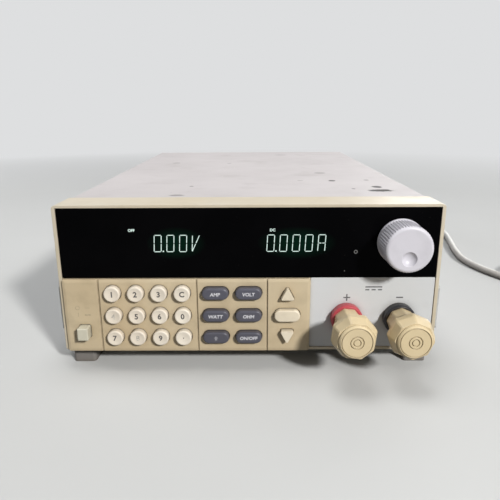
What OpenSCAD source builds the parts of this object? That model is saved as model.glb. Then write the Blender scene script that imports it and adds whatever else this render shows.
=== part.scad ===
// Bench DC electronic load: half-rack case with keypad, display, knob and two binding posts.
// Millimetres. +X is to the right seen from the front, +Y runs to the rear and +Z is up.
// The origin is on the bench, in the middle of the instrument without its mains lead.

/* [Case] */
// Width of the front frame
frame_w = 214.5; // [205:0.5:230]
// Height of the front frame, without the feet
frame_h = 86; // [85:0.5:100]
// Depth of the front frame, front to back
frame_d = 25; // [22:0.5:40]
// Front face of the frame to the outer face of the rear panel
case_d = 338; // [330:1:400]
// Corner radius of the front frame
frame_r = 2; // [1.5:0.1:5]
// Thickness of the frame's side walls
frame_side = 1.9; // [1.5:0.1:2.5]
// Thickness of the frame's top wall
frame_top = 1.5; // [1.2:0.1:2.5]
// Thickness of the frame's bottom wall
frame_bottom = 1.6; // [1.2:0.1:2.5]
// Set-back of the web that carries the front panels
web_back = 3.2; // [2.8:0.1:4]
// Thickness of that web
web_t = 2; // [1.5:0.1:3]
// Width of the ledge that the web leaves round each opening
web_ledge = 3; // [2.5:0.1:4]
// Sheet thickness of the cover and the chassis
sheet_t = 1.2; // [0.8:0.1:1.5]
// Thickness of the rear panel
rear_t = 1.5; // [1:0.1:2]
// How far the cover's skin lies inside the frame's outline
cover_inset = 0.6; // [0.3:0.1:1.2]
// Height of the upturned edges of the chassis
flange_h = 14; // [12:0.5:20]
// Gap between neighbouring sheets and panels
fit_gap = 0.2; // [0.1:0.05:0.3]

/* [Feet and side pads] */
// Height of the front feet under the frame
foot_h = 10.5; // [8:0.5:16]
// Width of a foot
foot_w = 13.4; // [12:0.1:18]
// Length of a foot, front to back
foot_l = 18; // [14:0.5:19]
// Front face of the frame to the front feet
foot_back = 6; // [4:0.5:10]
// Side of the frame to the outer side of a foot
foot_in = 1.5; // [1:0.1:4]
// How far a side pad stands out from the frame
pad_out = 5; // [3:0.1:8]
// Height of a side pad
pad_h = 27.5; // [20:0.5:34]
// Underside of the frame to the underside of a pad
pad_up = 8.5; // [5:0.5:14]
// Front face of the frame to the front of a pad
pad_back = 9.5; // [6:0.5:11]

/* [Front panels] */
// Height of the keypad and input plate, where the window begins
lower_h = 44.4; // [43:0.1:48]
// How far the window's face lies behind the frame's front
window_back = 0.4; // [0.2:0.1:0.8]
// How far the keypad moulding stands in front of the frame
panel_proud = 2; // [1.5:0.1:2.5]
// Width of the bevel round the keypad moulding
panel_bevel = 1.7; // [1:0.1:2]
// Wall of the skirt behind the keypad moulding
skirt_t = 1.4; // [1:0.1:1.8]
// Width of the section with the power button
power_section_w = 20.3; // [17:0.1:22]
// Width of the section with the number keys
number_section_w = 55.6; // [54:0.1:60]
// Width of the section with the function keys
function_section_w = 39.7; // [39:0.1:43]
// Width of the section with the arrow keys
arrow_section_w = 24.4; // [23:0.1:26]
// Width of the grooves between the sections
groove_w = 0.9; // [0.5:0.1:1.5]
// Depth of those grooves
groove_deep = 0.8; // [0.4:0.1:1]
// How far the input plate's face lies behind the frame's front
plate_back = 0.5; // [0.2:0.1:1]

/* [Keys] */
// Distance between the rows of keys
row_pitch = 13.3; // [13:0.1:13.6]
// Middle row of keys above the middle of the keypad
row_rise = 0.8; // [0:0.1:1.2]
// Distance between the columns of number keys
number_pitch = 13.1; // [12.8:0.1:13.5]
// Diameter of a number key
number_d = 9.2; // [8.5:0.1:10]
// Distance between the columns of function keys
function_pitch = 18.7; // [18.4:0.1:19.2]
// Width of a function key
function_w = 15; // [13:0.1:15.5]
// Height of a function key
function_h = 7; // [6:0.1:8]
// Width of the enter key
enter_w = 14.6; // [12:0.1:16]
// Height of the enter key
enter_h = 7.1; // [6:0.1:8]
// Base of a triangular arrow key
arrow_w = 8.4; // [7:0.1:9]
// Height of a triangular arrow key
arrow_h = 8; // [7:0.1:8.5]
// How far a key stands out of the keypad
key_proud = 3.4; // [2.5:0.1:5]
// Gap round a key in its hole
key_gap = 0.35; // [0.3:0.05:0.5]
// Width of the flange that keeps a key behind the panel
key_lip = 1.1; // [0.8:0.1:1.2]
// Thickness of that flange
key_lip_t = 1; // [0.8:0.1:1.5]
// Travel of a key
key_travel = 1.2; // [0.8:0.1:1.5]
// Diameter of a key's stem
stem_d = 3.4; // [3:0.1:3.8]
// Front face of the frame to the front of the key board
board_back = 9; // [8.5:0.1:10]
// Thickness of the circuit boards
board_t = 1.6; // [1:0.1:2]
// Side of a key switch's body
switch_w = 6; // [5.8:0.1:7]
// Height of a key switch's body
switch_h = 4; // [3.5:0.1:4.2]

/* [Power button] */
// Width of the button
button_w = 6.2; // [6:0.1:8]
// Height of the button
button_h = 7.4; // [7:0.1:9.5]
// How far the latched button stands out of the keypad
button_proud = 6; // [4.5:0.1:9]
// Middle of the button above the underside of the frame
button_up = 13.1; // [12:0.1:16]
// How far the button comes out when it unlatches
button_out = 3; // [2:0.1:3.2]
// How far the latched button can be pressed in
button_in = 1; // [0.5:0.1:1.5]
// Side of the button's square shaft
button_stem = 4; // [3:0.1:5]
// Front face of the frame to the front of the power switch
switch_back = 30; // [29:0.5:36]
// Length of the power switch
switch_l = 22; // [18:0.5:28]

/* [Knob] */
// Diameter of the knob's rear rim
knob_d = 26; // [22:0.1:30]
// Diameter of the knob at its front
knob_front_d = 25.4; // [21:0.1:28]
// Front of the frame to the front of the knob
knob_reach = 18.6; // [15:0.1:22]
// Number of ribs round the knob
knob_ribs = 52; // [40:1:60]
// Side of the frame to the middle of the knob
knob_in = 23.5; // [20:0.5:30]
// Middle of the knob above the middle of the window
knob_rise = 1; // [0:0.1:3]
// Diameter of the encoder's shaft
shaft_d = 6; // [5:0.1:6.3]
// Running clearance round the encoder's shaft
shaft_clear = 0.05; // [0.02:0.01:0.09]
// Diameter of the encoder's threaded neck
neck_d = 8.4; // [8:0.1:9]
// Side of the encoder's body
encoder_w = 14; // [12:0.5:16]
// Depth of the encoder's body
encoder_d = 7; // [6:0.5:9]

/* [Binding posts] */
// Distance between the two posts
post_pitch = 30; // [28:0.1:32]
// Posts right of the middle of the input plate
post_right = 0.8; // [0:0.1:2]
// Posts below the middle of the input plate
post_drop = 3; // [0:0.1:4]
// Diameter of the coloured collar
collar_d = 18; // [16:0.1:20]
// Height of the coloured collar
collar_h = 5; // [3:0.1:7]
// Diameter of the collar's spigot in the plate
spigot_d = 12; // [10.5:0.1:13]
// Diameter of the threaded stud
stud_d = 8; // [6:0.1:8.4]
// Thread clearance round the stud
stud_clear = 0.1; // [0.05:0.01:0.15]
// Thread pitch of the stud
stud_pitch = 1.25; // [1:0.05:1.5]
// Turns that a nut opens by
nut_turns = 5; // [2:1:6]
// Length of a nut
nut_l = 28.5; // [24:0.5:34]
// Width of a nut across the flats of its neck
nut_neck = 14.4; // [14:0.1:17]
// Width of a nut across the flats of its grip
nut_grip = 23; // [20:0.1:24]
// Diameter of the disc on a nut's front
nut_disc = 18.4; // [15:0.1:19]
// Thickness of the brass pressure washer
washer_t = 1.5; // [1:0.1:2]
// Diameter of the brass pressure washer
washer_d = 11.4; // [10.5:0.1:12]
// Thickness of the copper busbars
busbar_t = 2; // [1.5:0.1:3]
// Width of the copper busbars
busbar_w = 14; // [13:0.5:18]

/* [Cooling] */
// How much less than the frame's height the side of the fan is
fan_less = 6; // [5:0.1:12]
// Depth of the fan
fan_d = 25; // [20:1:32]
// Sides of the fan to the middles of its mounting holes
fan_hole_in = 4.25; // [4:0.05:6]
// Inner side of the cover to the fan
fan_side = 9.45; // [8:0.05:14]
// Wall of the fan's ring at its thinnest
fan_wall = 1.6; // [1.2:0.1:3]
// Diameter of the rotor's hub
fan_hub = 31; // [24:0.5:36]
// Gap between the blades and the ring
fan_tip = 1; // [0.6:0.1:2]
// Number of blades
fan_blades = 7; // [5:1:9]
// Diameter of the rotor's shaft
fan_shaft = 3; // [2.5:0.1:4]
// Number of rings of slots in the grille
grille_rings = 5; // [3:1:6]
// Width of the bars between the rings
grille_bar = 2.6; // [2:0.1:3.5]
// Length of the heat sink
sink_l = 150; // [100:1:180]
// Base thickness of the heat sink
sink_base = 8; // [5:0.5:10]
// Thickness of a cooling fin
fin_t = 2; // [1.2:0.1:2.5]
// Number of cooling fins
fin_count = 11; // [7:1:13]

/* [Rear fittings] */
// Inner side of the cover to the middle of the mains inlet
inlet_side = 35.45; // [31:0.05:40]
// Middle of the inlet's socket above the floor of the case
inlet_up = 38; // [36:0.5:42]
// How far the serial port stands out of the rear panel
serial_reach = 6; // [5:0.1:7]
// How far the sense terminals stand out of the rear panel
sense_reach = 8; // [7.5:0.1:12]
// Diameter of the small machine screws
screw_d = 3; // [2.5:0.1:4]

/* [Hidden] */
$fn = 48;
eps = 0.01;

// Heights
base_z = foot_h + frame_bottom;
floor_z = base_z + sheet_t;
cover_z = foot_h + frame_h - cover_inset;
ceiling_z = cover_z - sheet_t;

// Half widths
cover_x = frame_w / 2 - cover_inset;
inner_x = cover_x - sheet_t;
opening_x = frame_w / 2 - frame_side;
chassis_x = min(inner_x, opening_x) - fit_gap;
panel_x = opening_x - fit_gap;

// Front panels, as places above the underside of the frame and from the left
panel_low = foot_h + fit_gap;
panel_high = foot_h + lower_h - fit_gap;
window_low = foot_h + lower_h;
window_high = foot_h + frame_h - frame_top - fit_gap;
groove_1 = -panel_x + power_section_w;
groove_2 = groove_1 + number_section_w;
groove_3 = groove_2 + function_section_w;
keypad_right = groove_3 + arrow_section_w;
plate_left = keypad_right + fit_gap;
plate_low = foot_h + frame_bottom + fit_gap;
web_front = web_back;
web_rear = web_back + web_t;

// Key places
row_z = (panel_low + panel_high) / 2 + row_rise;
number_x = (groove_1 + groove_2) / 2;
function_x = (groove_2 + groove_3) / 2;
arrow_x = (groove_3 + keypad_right - panel_bevel) / 2;
button_x = (groove_1 - panel_x + panel_bevel) / 2;
button_z = foot_h + button_up;
key_seat = 0.1;
stem_in = 0.6;
stem_clear = 0.35;
stem_end = board_back - switch_h + stem_in;
lip_clear = 0.25;

// Knob and posts
knob_x = frame_w / 2 - knob_in;
knob_z = (window_low + window_high) / 2 + knob_rise;
post_x = (plate_left + panel_x) / 2 + post_right;
post_z = (plate_low + panel_high) / 2 - post_drop;
collar_front = plate_back - collar_h;
nut_front = collar_front - nut_l;
nut_open = nut_turns * stud_pitch;
thread_hold = 1.5 * stud_d;
stud_front = collar_front - washer_t - nut_open - thread_hold;
stud_nut_h = 6;
stud_nut_af = 13;
stud_rear = web_rear + 2 * stud_nut_h + busbar_t + 2;

// Front to back: the middle of the instrument is at Y = 0
rear_reach = max(serial_reach, sense_reach);
front_y = -(case_d + rear_reach + nut_front) / 2;
rear_in = case_d - rear_t;
chassis_front = board_back + board_t + 4;

// Inside
fan_w = frame_h - fan_less;
fan_holes = fan_w - 2 * fan_hole_in;
fan_x = -inner_x + fan_side + fan_w / 2;
fan_z = floor_z + (ceiling_z - floor_z) / 2;
fan_back = rear_in - fan_d;
fan_bore = fan_w / 2 - fan_wall;
strut_t = 4;
sink_x = fan_x + fan_w / 2;
sink_w = fan_w - 2;
sink_less = 4;
sink_h = fan_w - sink_less;
sink_back = fan_back - 4 - sink_l;
standoff_h = 6;
main_board_z = floor_z + standoff_h;
main_board_left = sink_x + 0.5;
board_side = 11.45;
main_board_w = chassis_x - sheet_t - board_side - main_board_left;
main_board_front = 58;
transformer_w = 54;
transformer_h = 45;
transformer_d = 18;
winding_out = 7;
transformer_back = 60;
transformer_t = rear_in - transformer_back;
board_clear = 12.5;
main_board_l = transformer_t - transformer_d / 2 - winding_out - board_clear - main_board_front;
inlet_x = inner_x - inlet_side;
inlet_z = floor_z + inlet_up;
inlet_w = 27.2;
inlet_h = 36;
inlet_mid = -7;
inlet_rim = 2;
port_x = (sink_x + inlet_x - inlet_w / 2 - inlet_rim) / 2;
socket_w = 24.6;
socket_h = 16.8;
socket_deep = 17;
screw_gap = 0.2;
cover_screws = [frame_d + 28, (frame_d + case_d) / 2, case_d - 28];
screw_z = floor_z + flange_h / 2;
pad_screw_t = (pad_back + frame_d) / 2;
pad_screw_z = foot_h + pad_up + pad_h / 2;

// Mains lead: route of the part that isn't coiled, then the coil and the plug
cord_d = 6;
cord_route = [
    [70, 244, 51], [70, 256, 51], [71, 270, 49], [74, 284, 45], [80, 297, 39], [89, 309, 32],
    [101, 318, 24], [114, 325, 16], [128, 328, 9], [143, 328, 5], [158, 325, 3], [173, 319, 3],
    [187, 310, 3], [199, 299, 3], [209, 286, 3], [217, 271, 3], [223, 255, 3], [227, 237, 3],
    [229, 218, 3], [230, 198, 3], [230, 178, 3], [228, 158, 3], [225, 138, 3], [221, 120, 3],
    [217, 103, 3], [213, 86, 3], [210, 69, 3], [208, 52, 3], [209, 37, 3], [212, 22, 3],
    [217, 7, 3], [223, -7, 3], [231, -20, 3], [240, -33, 3]
];
cord_sides = 8;
coil_x = 273;
coil_y = -12;
coil_in = 24;
coil_out = 42;
coil_h = 12;
connector_l = 30;
relief_l = cord_route[0][1] - (front_y + case_d) - connector_l;
plug_x = 312;
plug_y = 2;
plug_z = 9;
plug_relief = 32;
plug_l = 36;

NUMBER_KEYS = [
    "key_1", "key_2", "key_3", "key_clear",
    "key_4", "key_5", "key_6", "key_0",
    "key_7", "key_8", "key_9", "key_point"
];
FUNCTION_KEYS = [
    "amps_key", "volts_key", "watts_key", "ohms_key", "shift_key", "on_off_key"
];

// Key centres, row 0 at the top
function key_row(row) = row_z + (1 - row) * row_pitch;
function number_place(i) = [number_x + (i % 4 - 1.5) * number_pitch, key_row(floor(i / 4))];
function function_place(i) = [function_x + (i % 2 - 0.5) * function_pitch, key_row(floor(i / 2))];
up_place = [arrow_x, key_row(0)];
enter_place = [arrow_x, key_row(1)];
down_place = [arrow_x, key_row(2)];
key_places = concat(
    [for (i = [0 : 11]) number_place(i)],
    [for (i = [0 : 5]) function_place(i)],
    [up_place, enter_place, down_place]
);
post_places = [[post_x - post_pitch / 2, post_z], [post_x + post_pitch / 2, post_z]];

// Outlines, drawn in the front view: x to the right, y up

module rounded_rect(w, h, r) {
    square([w - 2 * r, h], center = true);
    square([w, h - 2 * r], center = true);
    for (sx = [-1, 1], sy = [-1, 1])
        translate([sx * (w / 2 - r), sy * (h / 2 - r)]) circle(r);
}

// Rounded rectangle given by its sides
module rounded_box(left, right, low, high, r) {
    translate([(left + right) / 2, (low + high) / 2]) rounded_rect(right - left, high - low, r);
}

module box(left, right, low, high) {
    translate([left, low]) square([right - left, high - low]);
}

module stadium(w, h) {
    square([w - h, h], center = true);
    for (s = [-1, 1]) translate([s * (w - h) / 2, 0]) circle(h / 2);
}

// Triangle with its point up, its corners rounded by r
module rounded_triangle(w, h, r) {
    slope = atan2(h, w / 2);
    base_x = w / 2 - r / tan(slope / 2);
    steps = 8;
    // centre of each corner, and the directions in which its arc starts and ends
    corners = [
        [[-base_x, r - h / 2], 90 + slope, 270],
        [[base_x, r - h / 2], -90, 90 - slope],
        [[0, h / 2 - r / cos(slope)], 90 - slope, 90 + slope]
    ];
    polygon([
        for (c = corners, i = [0 : steps])
            let (turn = c[1] + (c[2] - c[1]) * i / steps)
            c[0] + r * [cos(turn), sin(turn)]
    ]);
}

// Places

// Extrudes a front-view outline backwards from a depth behind the frame's front
module upright(back, depth) {
    translate([0, front_y + back, 0])
        rotate([90, 0, 0]) mirror([0, 0, 1]) linear_extrude(depth) children();
}

// Puts a shape turned about Z on an axis that runs from front to back
module turned(place, back) {
    translate([place[0], front_y + back, place[1]]) rotate([-90, 0, 0]) children();
}

// Extrudes an outline drawn in the side view (x to the rear, y up) across the case
module across(x, w) {
    translate([x - w / 2, front_y, 0])
        rotate([90, 0, 90]) linear_extrude(w) children();
}

// Extrudes an outline drawn from above (x right, y to the rear) upwards
module above(z, h) {
    translate([0, front_y, z]) linear_extrude(h) children();
}

// Pan head of a screw along X, on the side given by s
module side_screw(s, head_x, t, z, head_d, head_h, length) {
    translate([s * head_x, front_y + t, z]) rotate([0, s * 90, 0]) {
        difference() {
            cylinder(d1 = head_d, d2 = head_d * 0.7, h = head_h);
            for (turn = [0, 90]) rotate(turn)
                translate([-head_d * 0.3, -head_d * 0.06, head_h * 0.4])
                    cube([head_d * 0.6, head_d * 0.12, head_h]);
        }
        translate([0, 0, -length]) cylinder(d = screw_d, h = length + eps);
    }
}

// Pan head screw that goes forward into the rear panel
module rear_screw(place, back, length) {
    turned(place, back) {
        difference() {
            cylinder(d1 = screw_d * 2, d2 = screw_d * 1.4, h = screw_d * 0.6);
            for (turn = [0, 90]) rotate(turn)
                translate([-screw_d * 0.6, -screw_d * 0.12, screw_d * 0.25])
                    cube([screw_d * 1.2, screw_d * 0.24, screw_d]);
        }
        translate([0, 0, -length]) cylinder(d = screw_d, h = length + eps);
    }
}

// Front frame and its panels

module front_frame() color([0.80, 0.74, 0.63]) difference() {
    union() {
        upright(0, frame_d) difference() {
            rounded_box(-frame_w / 2, frame_w / 2, foot_h, foot_h + frame_h, frame_r);
            box(-opening_x, opening_x, base_z, foot_h + frame_h - frame_top);
        }
        upright(web_front, web_t) difference() {
            box(-opening_x - eps, opening_x + eps, base_z - eps, foot_h + frame_h - frame_top + eps);
            // behind the keypad
            box(-panel_x + web_ledge, keypad_right - web_ledge,
                plate_low + web_ledge, panel_high - web_ledge);
            // behind the display
            box(display_left, display_right, display_low, display_high);
            // binding posts and encoder
            for (p = post_places) translate(p) circle(d = spigot_d + 2 * fit_gap);
            translate([knob_x, knob_z]) circle(d = neck_d + 2 * fit_gap);
        }
    }
    // screws of the side pads
    for (s = [-1, 1])
        translate([s * frame_w / 2, front_y + pad_screw_t, pad_screw_z])
            rotate([0, 90, 0]) cylinder(d = screw_d + 2 * screw_gap, h = 4 * frame_side, center = true);
}

display_left = -78;
display_right = 60;
display_low = window_low + 5;
display_high = window_high - 5;

module display_window() color([0.03, 0.03, 0.035]) difference() {
    upright(window_back, web_front - window_back)
        rounded_box(-panel_x, panel_x, window_low, window_high, 1);
    turned([knob_x, knob_z], 0)
        translate([0, 0, -eps]) cylinder(d = neck_d + 2 * fit_gap, h = web_rear);
}

// Display tube with its circuit board, on spacers behind the web
module display_module() color([0.10, 0.16, 0.12]) {
    glass_edge = 2;
    board_edge = 4;
    tube_t = 6;
    upright(web_rear - web_t, tube_t + web_t + eps)
        rounded_box(display_left + fit_gap, display_right - fit_gap,
            display_low + fit_gap, display_high - fit_gap, glass_edge);
    upright(web_rear + tube_t, board_t)
        box(display_left - board_edge, display_right + board_edge,
            display_low - board_edge + 1, display_high + board_edge - 1);
    for (x = [display_left - board_edge / 2, display_right + board_edge / 2])
        for (z = [display_low + 2, display_high - 2])
            turned([x, z], web_rear) cylinder(r = board_edge / 2 - fit_gap, h = tube_t + eps);
}

// Keypad moulding with bevelled edges, grooves between its sections and a hole for each key
module key_panel() color([0.78, 0.72, 0.60]) difference() {
    union() {
        intersection() {
            upright(-panel_proud, panel_proud)
                rounded_box(-panel_x, keypad_right, panel_low, panel_high, frame_r - 0.5);
            across(0, frame_w) panel_profile(panel_low, panel_high);
            above(foot_h, frame_h) panel_profile_top();
        }
        upright(-eps, web_front + eps) difference() {
            box(-panel_x, keypad_right, plate_low, panel_high);
            box(-panel_x + skirt_t, keypad_right - skirt_t, plate_low + skirt_t, panel_high - skirt_t);
        }
        for (p = boss_places) turned(p, -eps) {
            cylinder(d = boss_d, h = board_back + eps);
            cylinder(d = boss_pin, h = board_back + board_t + 0.6);
        }
    }
    for (x = [groove_1, groove_2, groove_3])
        upright(-panel_proud - eps, groove_deep + eps)
            box(x - groove_w / 2, x + groove_w / 2, foot_h, foot_h + lower_h);
    for (i = [0 : 11]) upright(-panel_proud - eps, panel_proud + 2 * eps)
        translate(number_place(i)) circle(d = number_d + 2 * key_gap);
    for (i = [0 : 5]) upright(-panel_proud - eps, panel_proud + 2 * eps)
        translate(function_place(i)) stadium(function_w + 2 * key_gap, function_h + 2 * key_gap);
    upright(-panel_proud - eps, panel_proud + 2 * eps) {
        translate(up_place) arrow_outline(key_gap);
        translate(down_place) rotate(180) arrow_outline(key_gap);
        translate(enter_place) stadium(enter_w + 2 * key_gap, enter_h + 2 * key_gap);
        translate([button_x, button_z])
            rounded_rect(button_w + 2 * key_gap, button_h + 2 * key_gap, button_r + key_gap);
    }
}

boss_d = 3.6;
boss_pin = 1.6;
boss_places = [for (x = [groove_1, groove_2, groove_3], s = [-0.5, 0.5]) [x, row_z + s * row_pitch]];
button_r = 0.8;
arrow_r = 0.9;

// Side view of the keypad moulding: flat front, bevelled at the top and bottom
module panel_profile(low, high) {
    polygon([
        [0, low], [0, high], [-panel_proud + 0.4, high], [-panel_proud, high - panel_bevel],
        [-panel_proud, low + panel_bevel], [-panel_proud + 0.4, low]
    ]);
}

// The same seen from above, bevelled at its left and right ends
module panel_profile_top() {
    polygon([
        [-panel_x, 0], [keypad_right, 0], [keypad_right, -panel_proud + 0.4],
        [keypad_right - panel_bevel, -panel_proud], [-panel_x + panel_bevel, -panel_proud],
        [-panel_x, -panel_proud + 0.4]
    ]);
}

module input_plate() color([0.80, 0.81, 0.82]) difference() {
    upright(plate_back, web_front - plate_back)
        rounded_box(plate_left, panel_x, plate_low, panel_high, 0.8);
    for (p = post_places)
        turned(p, 0) translate([0, 0, -eps]) cylinder(d = spigot_d + 2 * fit_gap, h = web_rear);
}

// Keys

module arrow_outline(grow) {
    rounded_triangle(arrow_w + 2 * grow * 1.7, arrow_h + 3 * grow, arrow_r + grow);
}

// Stem and retaining flange shared by the keys; the flange's outline is the child
module key_rear(place) {
    upright(key_seat, key_lip_t) translate(place) children();
    turned(place, key_seat) cylinder(d = stem_d, h = stem_end - key_seat);
}

key_front = -panel_proud - key_proud;
key_depth = key_seat - key_front + eps;
dish_r = 16;
dish_deep = 0.45;

// Round key with a rounded rim and a dished face
module number_key(i) color([0.88, 0.85, 0.79]) {
    place = number_place(i);
    rim = 0.9;
    difference() {
        turned(place, key_front) rotate_extrude() {
            translate([0, rim]) square([number_d / 2, key_depth - rim]);
            square([number_d / 2 - rim, rim + eps]);
            translate([number_d / 2 - rim, rim]) circle(rim);
        }
        turned(place, key_front - dish_r + dish_deep) sphere(dish_r, $fn = 96);
    }
    key_rear(place) circle(d = number_d + 2 * key_gap + 2 * key_lip);
}

// Oblong key with round ends: the same rounded section, run straight and turned at both ends
module oblong_key(place, w, h, rim) {
    straight = w - h;
    translate([place[0], front_y + key_front, place[1]]) {
        for (s = [-1, 1]) translate([s * straight / 2, 0, 0]) rotate([-90, 0, 0]) rotate_extrude()
            intersection() {
                key_section(h, key_depth, rim);
                square([h, key_depth]);
            }
        rotate([0, 90, 0]) rotate([0, 0, 90]) linear_extrude(straight, center = true)
            rotate(-90) key_section(h, key_depth, rim);
    }
    key_rear(place) stadium(w + 2 * key_gap + 2 * key_lip, h + 2 * key_gap + 2 * key_lip);
}
module function_key(i) color([0.34, 0.34, 0.37]) oblong_key(function_place(i), function_w, function_h, 1.2);
module enter_key() color([0.84, 0.80, 0.71]) oblong_key(enter_place, enter_w, enter_h, 0.9);

// Section across an oblong key: front corners rounded, y runs to the rear
module key_section(w, depth, rim) {
    translate([-w / 2, rim]) square([w, depth - rim]);
    translate([-w / 2 + rim, 0]) square([w - 2 * rim, rim + eps]);
    for (s = [-1, 1]) translate([s * (w / 2 - rim), rim]) circle(rim);
}

// Block with a rounded outline and rounded front edges
module soft_block(place, w, h, r, front, depth, rim) {
    intersection() {
        upright(front, depth) translate(place) rounded_rect(w, h, r);
        across(place[0], w + 1) translate([front, place[1]]) rotate(-90) key_section(h, depth, rim);
        above(place[1] - h, 2 * h) translate([place[0], front]) key_section(w, depth, rim);
    }
}

module triangle_key(place, turn) color([0.83, 0.79, 0.70]) {
    step = 0.5;
    upright(key_front + step, key_depth - step) translate(place) rotate(turn) arrow_outline(0);
    upright(key_front, step + eps) translate(place) rotate(turn) arrow_outline(-step / 2);
    key_rear(place) rotate(turn) arrow_outline(key_gap + key_lip);
}

module up_key() { triangle_key(up_place, 0); }
module down_key() { triangle_key(down_place, 180); }

// Latching button with a square shaft that reaches the switch
module power_button() color([0.86, 0.82, 0.73]) {
    front = -panel_proud - button_proud;
    lip_back = button_out + lip_clear;
    place = [button_x, button_z];
    soft_block(place, button_w, button_h, button_r, front, lip_back - front + eps, 0.7);
    upright(lip_back, key_lip_t + eps) translate(place)
        rounded_rect(button_w + 2 * key_gap + 1.2, button_h + 2 * key_gap + 1.2, button_r);
    upright(lip_back + key_lip_t, switch_back + button_out + 1 - lip_back - key_lip_t)
        translate(place) square(button_stem, center = true);
}

// Body of the power switch on its bracket, with a square well for the button's shaft
module power_switch() color([0.15, 0.15, 0.16]) difference() {
    body = button_stem + 6;
    union() {
        upright(switch_back, switch_l) translate([button_x, button_z]) rounded_rect(body, body, 0.8);
        upright(switch_back + 2, switch_l - 4)
            box(button_x - body / 2 + 1, button_x + body / 2 - 1, floor_z, button_z);
        above(floor_z, 1.5) translate([button_x - body / 2, switch_back + 2])
            square([body + 5, switch_l - 4]);
        for (x = [-3, 0, 3]) upright(switch_back + switch_l - eps, 5)
            translate([button_x + x, button_z]) square([1, 2], center = true);
    }
    upright(switch_back - eps, button_out + button_in + 3 + eps)
        translate([button_x, button_z]) square(button_stem + 0.8, center = true);
}

module key_board() color([0.12, 0.32, 0.18]) upright(board_back, board_t) difference() {
    box(groove_1 - boss_d, keypad_right - web_ledge, panel_low + web_ledge, panel_high - 1);
    for (p = boss_places) translate(p) circle(d = boss_pin + 2 * fit_gap);
}

// Push switches under the keys; each has a well as deep as its key's travel needs
module key_switches() color([0.2, 0.2, 0.2]) for (p = key_places) difference() {
    upright(board_back - switch_h, switch_h) translate(p) rounded_rect(switch_w, switch_w, 0.5);
    turned(p, board_back - switch_h - eps)
        cylinder(d = stem_d + 2 * stem_clear, h = stem_in + key_travel + stem_clear + eps);
}

// Knob and encoder

// Knob with a flared rear rim, fine ribs, a rounded front edge and a finger dimple
module encoder_knob() color([0.88, 0.88, 0.90]) {
    place = [knob_x, knob_z];
    rim_t = 2.4;
    rim_in = 2;
    edge = 2;
    rear = window_back - knob_lift;
    long = knob_reach + rear;
    body_r = knob_front_d / 2;
    difference() {
        union() {
            turned(place, -knob_reach) difference() {
                rotate_extrude($fn = 96) {
                    translate([0, edge]) square([body_r, long - edge]);
                    square([body_r - edge, long]);
                    translate([body_r - edge, edge]) circle(edge);
                }
                // flutes that leave the ribs standing
                for (i = [0 : knob_ribs - 1]) rotate(i * 360 / knob_ribs)
                    translate([body_r + flute_out, 0, -eps])
                        cylinder(r = flute_r, h = long - rim_t / 2, $fn = 16);
            }
            turned(place, -knob_reach) rotate_extrude($fn = 96)
                polygon([
                    [body_r - rim_in, long], [knob_d / 2, long], [knob_d / 2, long - rim_t / 2],
                    [body_r - rim_in / 3, long - rim_t], [body_r - rim_in, long - rim_t]
                ]);
        }
        // finger dimple, below the middle
        turned([place[0], place[1] - dimple_drop], -knob_reach - dimple_r + dimple_deep)
            sphere(dimple_r, $fn = 96);
        // hub bore, and room for the nut on the encoder's neck
        turned(place, -knob_reach + knob_face) cylinder(d = shaft_d, h = long);
        turned(place, rear - knob_hollow) cylinder(d = knob_front_d - 6, h = knob_hollow + eps);
    }
}
knob_lift = 1.2;
knob_face = 4;
knob_hollow = 6;
flute_r = 0.56;
flute_out = 0.08;
dimple_r = 4.8;
dimple_deep = 2.2;
dimple_drop = 5;

module encoder_shaft() color([0.75, 0.75, 0.77]) {
    front = knob_face + fit_gap - knob_reach;
    turned([knob_x, knob_z], front) cylinder(d = shaft_d, h = web_rear + encoder_d - 1 - front);
}

module encoder_body() color([0.55, 0.56, 0.58]) difference() {
    place = [knob_x, knob_z];
    union() {
        upright(web_rear, encoder_d) translate(place) rounded_rect(encoder_w, encoder_w, 1);
        turned(place, window_back - neck_out)
            cylinder(d = neck_d, h = web_rear - window_back + neck_out + eps);
        for (x = [-3, 0, 3]) upright(web_rear + encoder_d - eps, 4)
            translate([place[0] + x, place[1]]) square([0.8, 1.2], center = true);
    }
    turned(place, window_back - neck_out - eps)
        cylinder(d = shaft_d + 2 * shaft_clear, h = neck_out + web_rear - window_back + encoder_d - 0.6);
}
neck_out = 4.5;

// Binding posts

module collar(i) {
    flange_edge = 0.8;
    turned(post_places[i], collar_front) difference() {
        rotate_extrude() {
            polygon([
                [0, 0], [collar_d / 2 - flange_edge, 0], [collar_d / 2, flange_edge],
                [collar_d / 2, collar_h], [0, collar_h]
            ]);
            square([spigot_d / 2, collar_h + web_rear - plate_back]);
        }
        translate([0, 0, -eps]) cylinder(d = stud_d + 2 * eps, h = collar_h + web_rear + 1);
    }
}
module red_collar() color([0.68, 0.20, 0.24]) collar(0);
module black_collar() color([0.10, 0.10, 0.12]) collar(1);

module terminal_studs() color([0.80, 0.66, 0.36]) for (p = post_places) difference() {
    turned(p, stud_front) rotate_extrude()
        polygon([[0, 0], [stud_d / 2 - 0.8, 0], [stud_d / 2, 0.8], [stud_d / 2, stud_rear - stud_front],
            [0, stud_rear - stud_front]]);
    // hole for a bare wire, just in front of the collar
    translate([p[0], front_y + collar_front - 3.5, p[1]]) cylinder(d = 3, h = stud_d + 1, center = true);
}

// Captive pressure washer in the rear recess of a nut
module washer(i) color([0.82, 0.68, 0.36])
    turned(post_places[i], collar_front - washer_t) difference() {
        cylinder(d = washer_d, h = washer_t);
        translate([0, 0, -eps]) cylinder(d = stud_d + 2 * stud_clear, h = washer_t + 2 * eps);
    }

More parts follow.
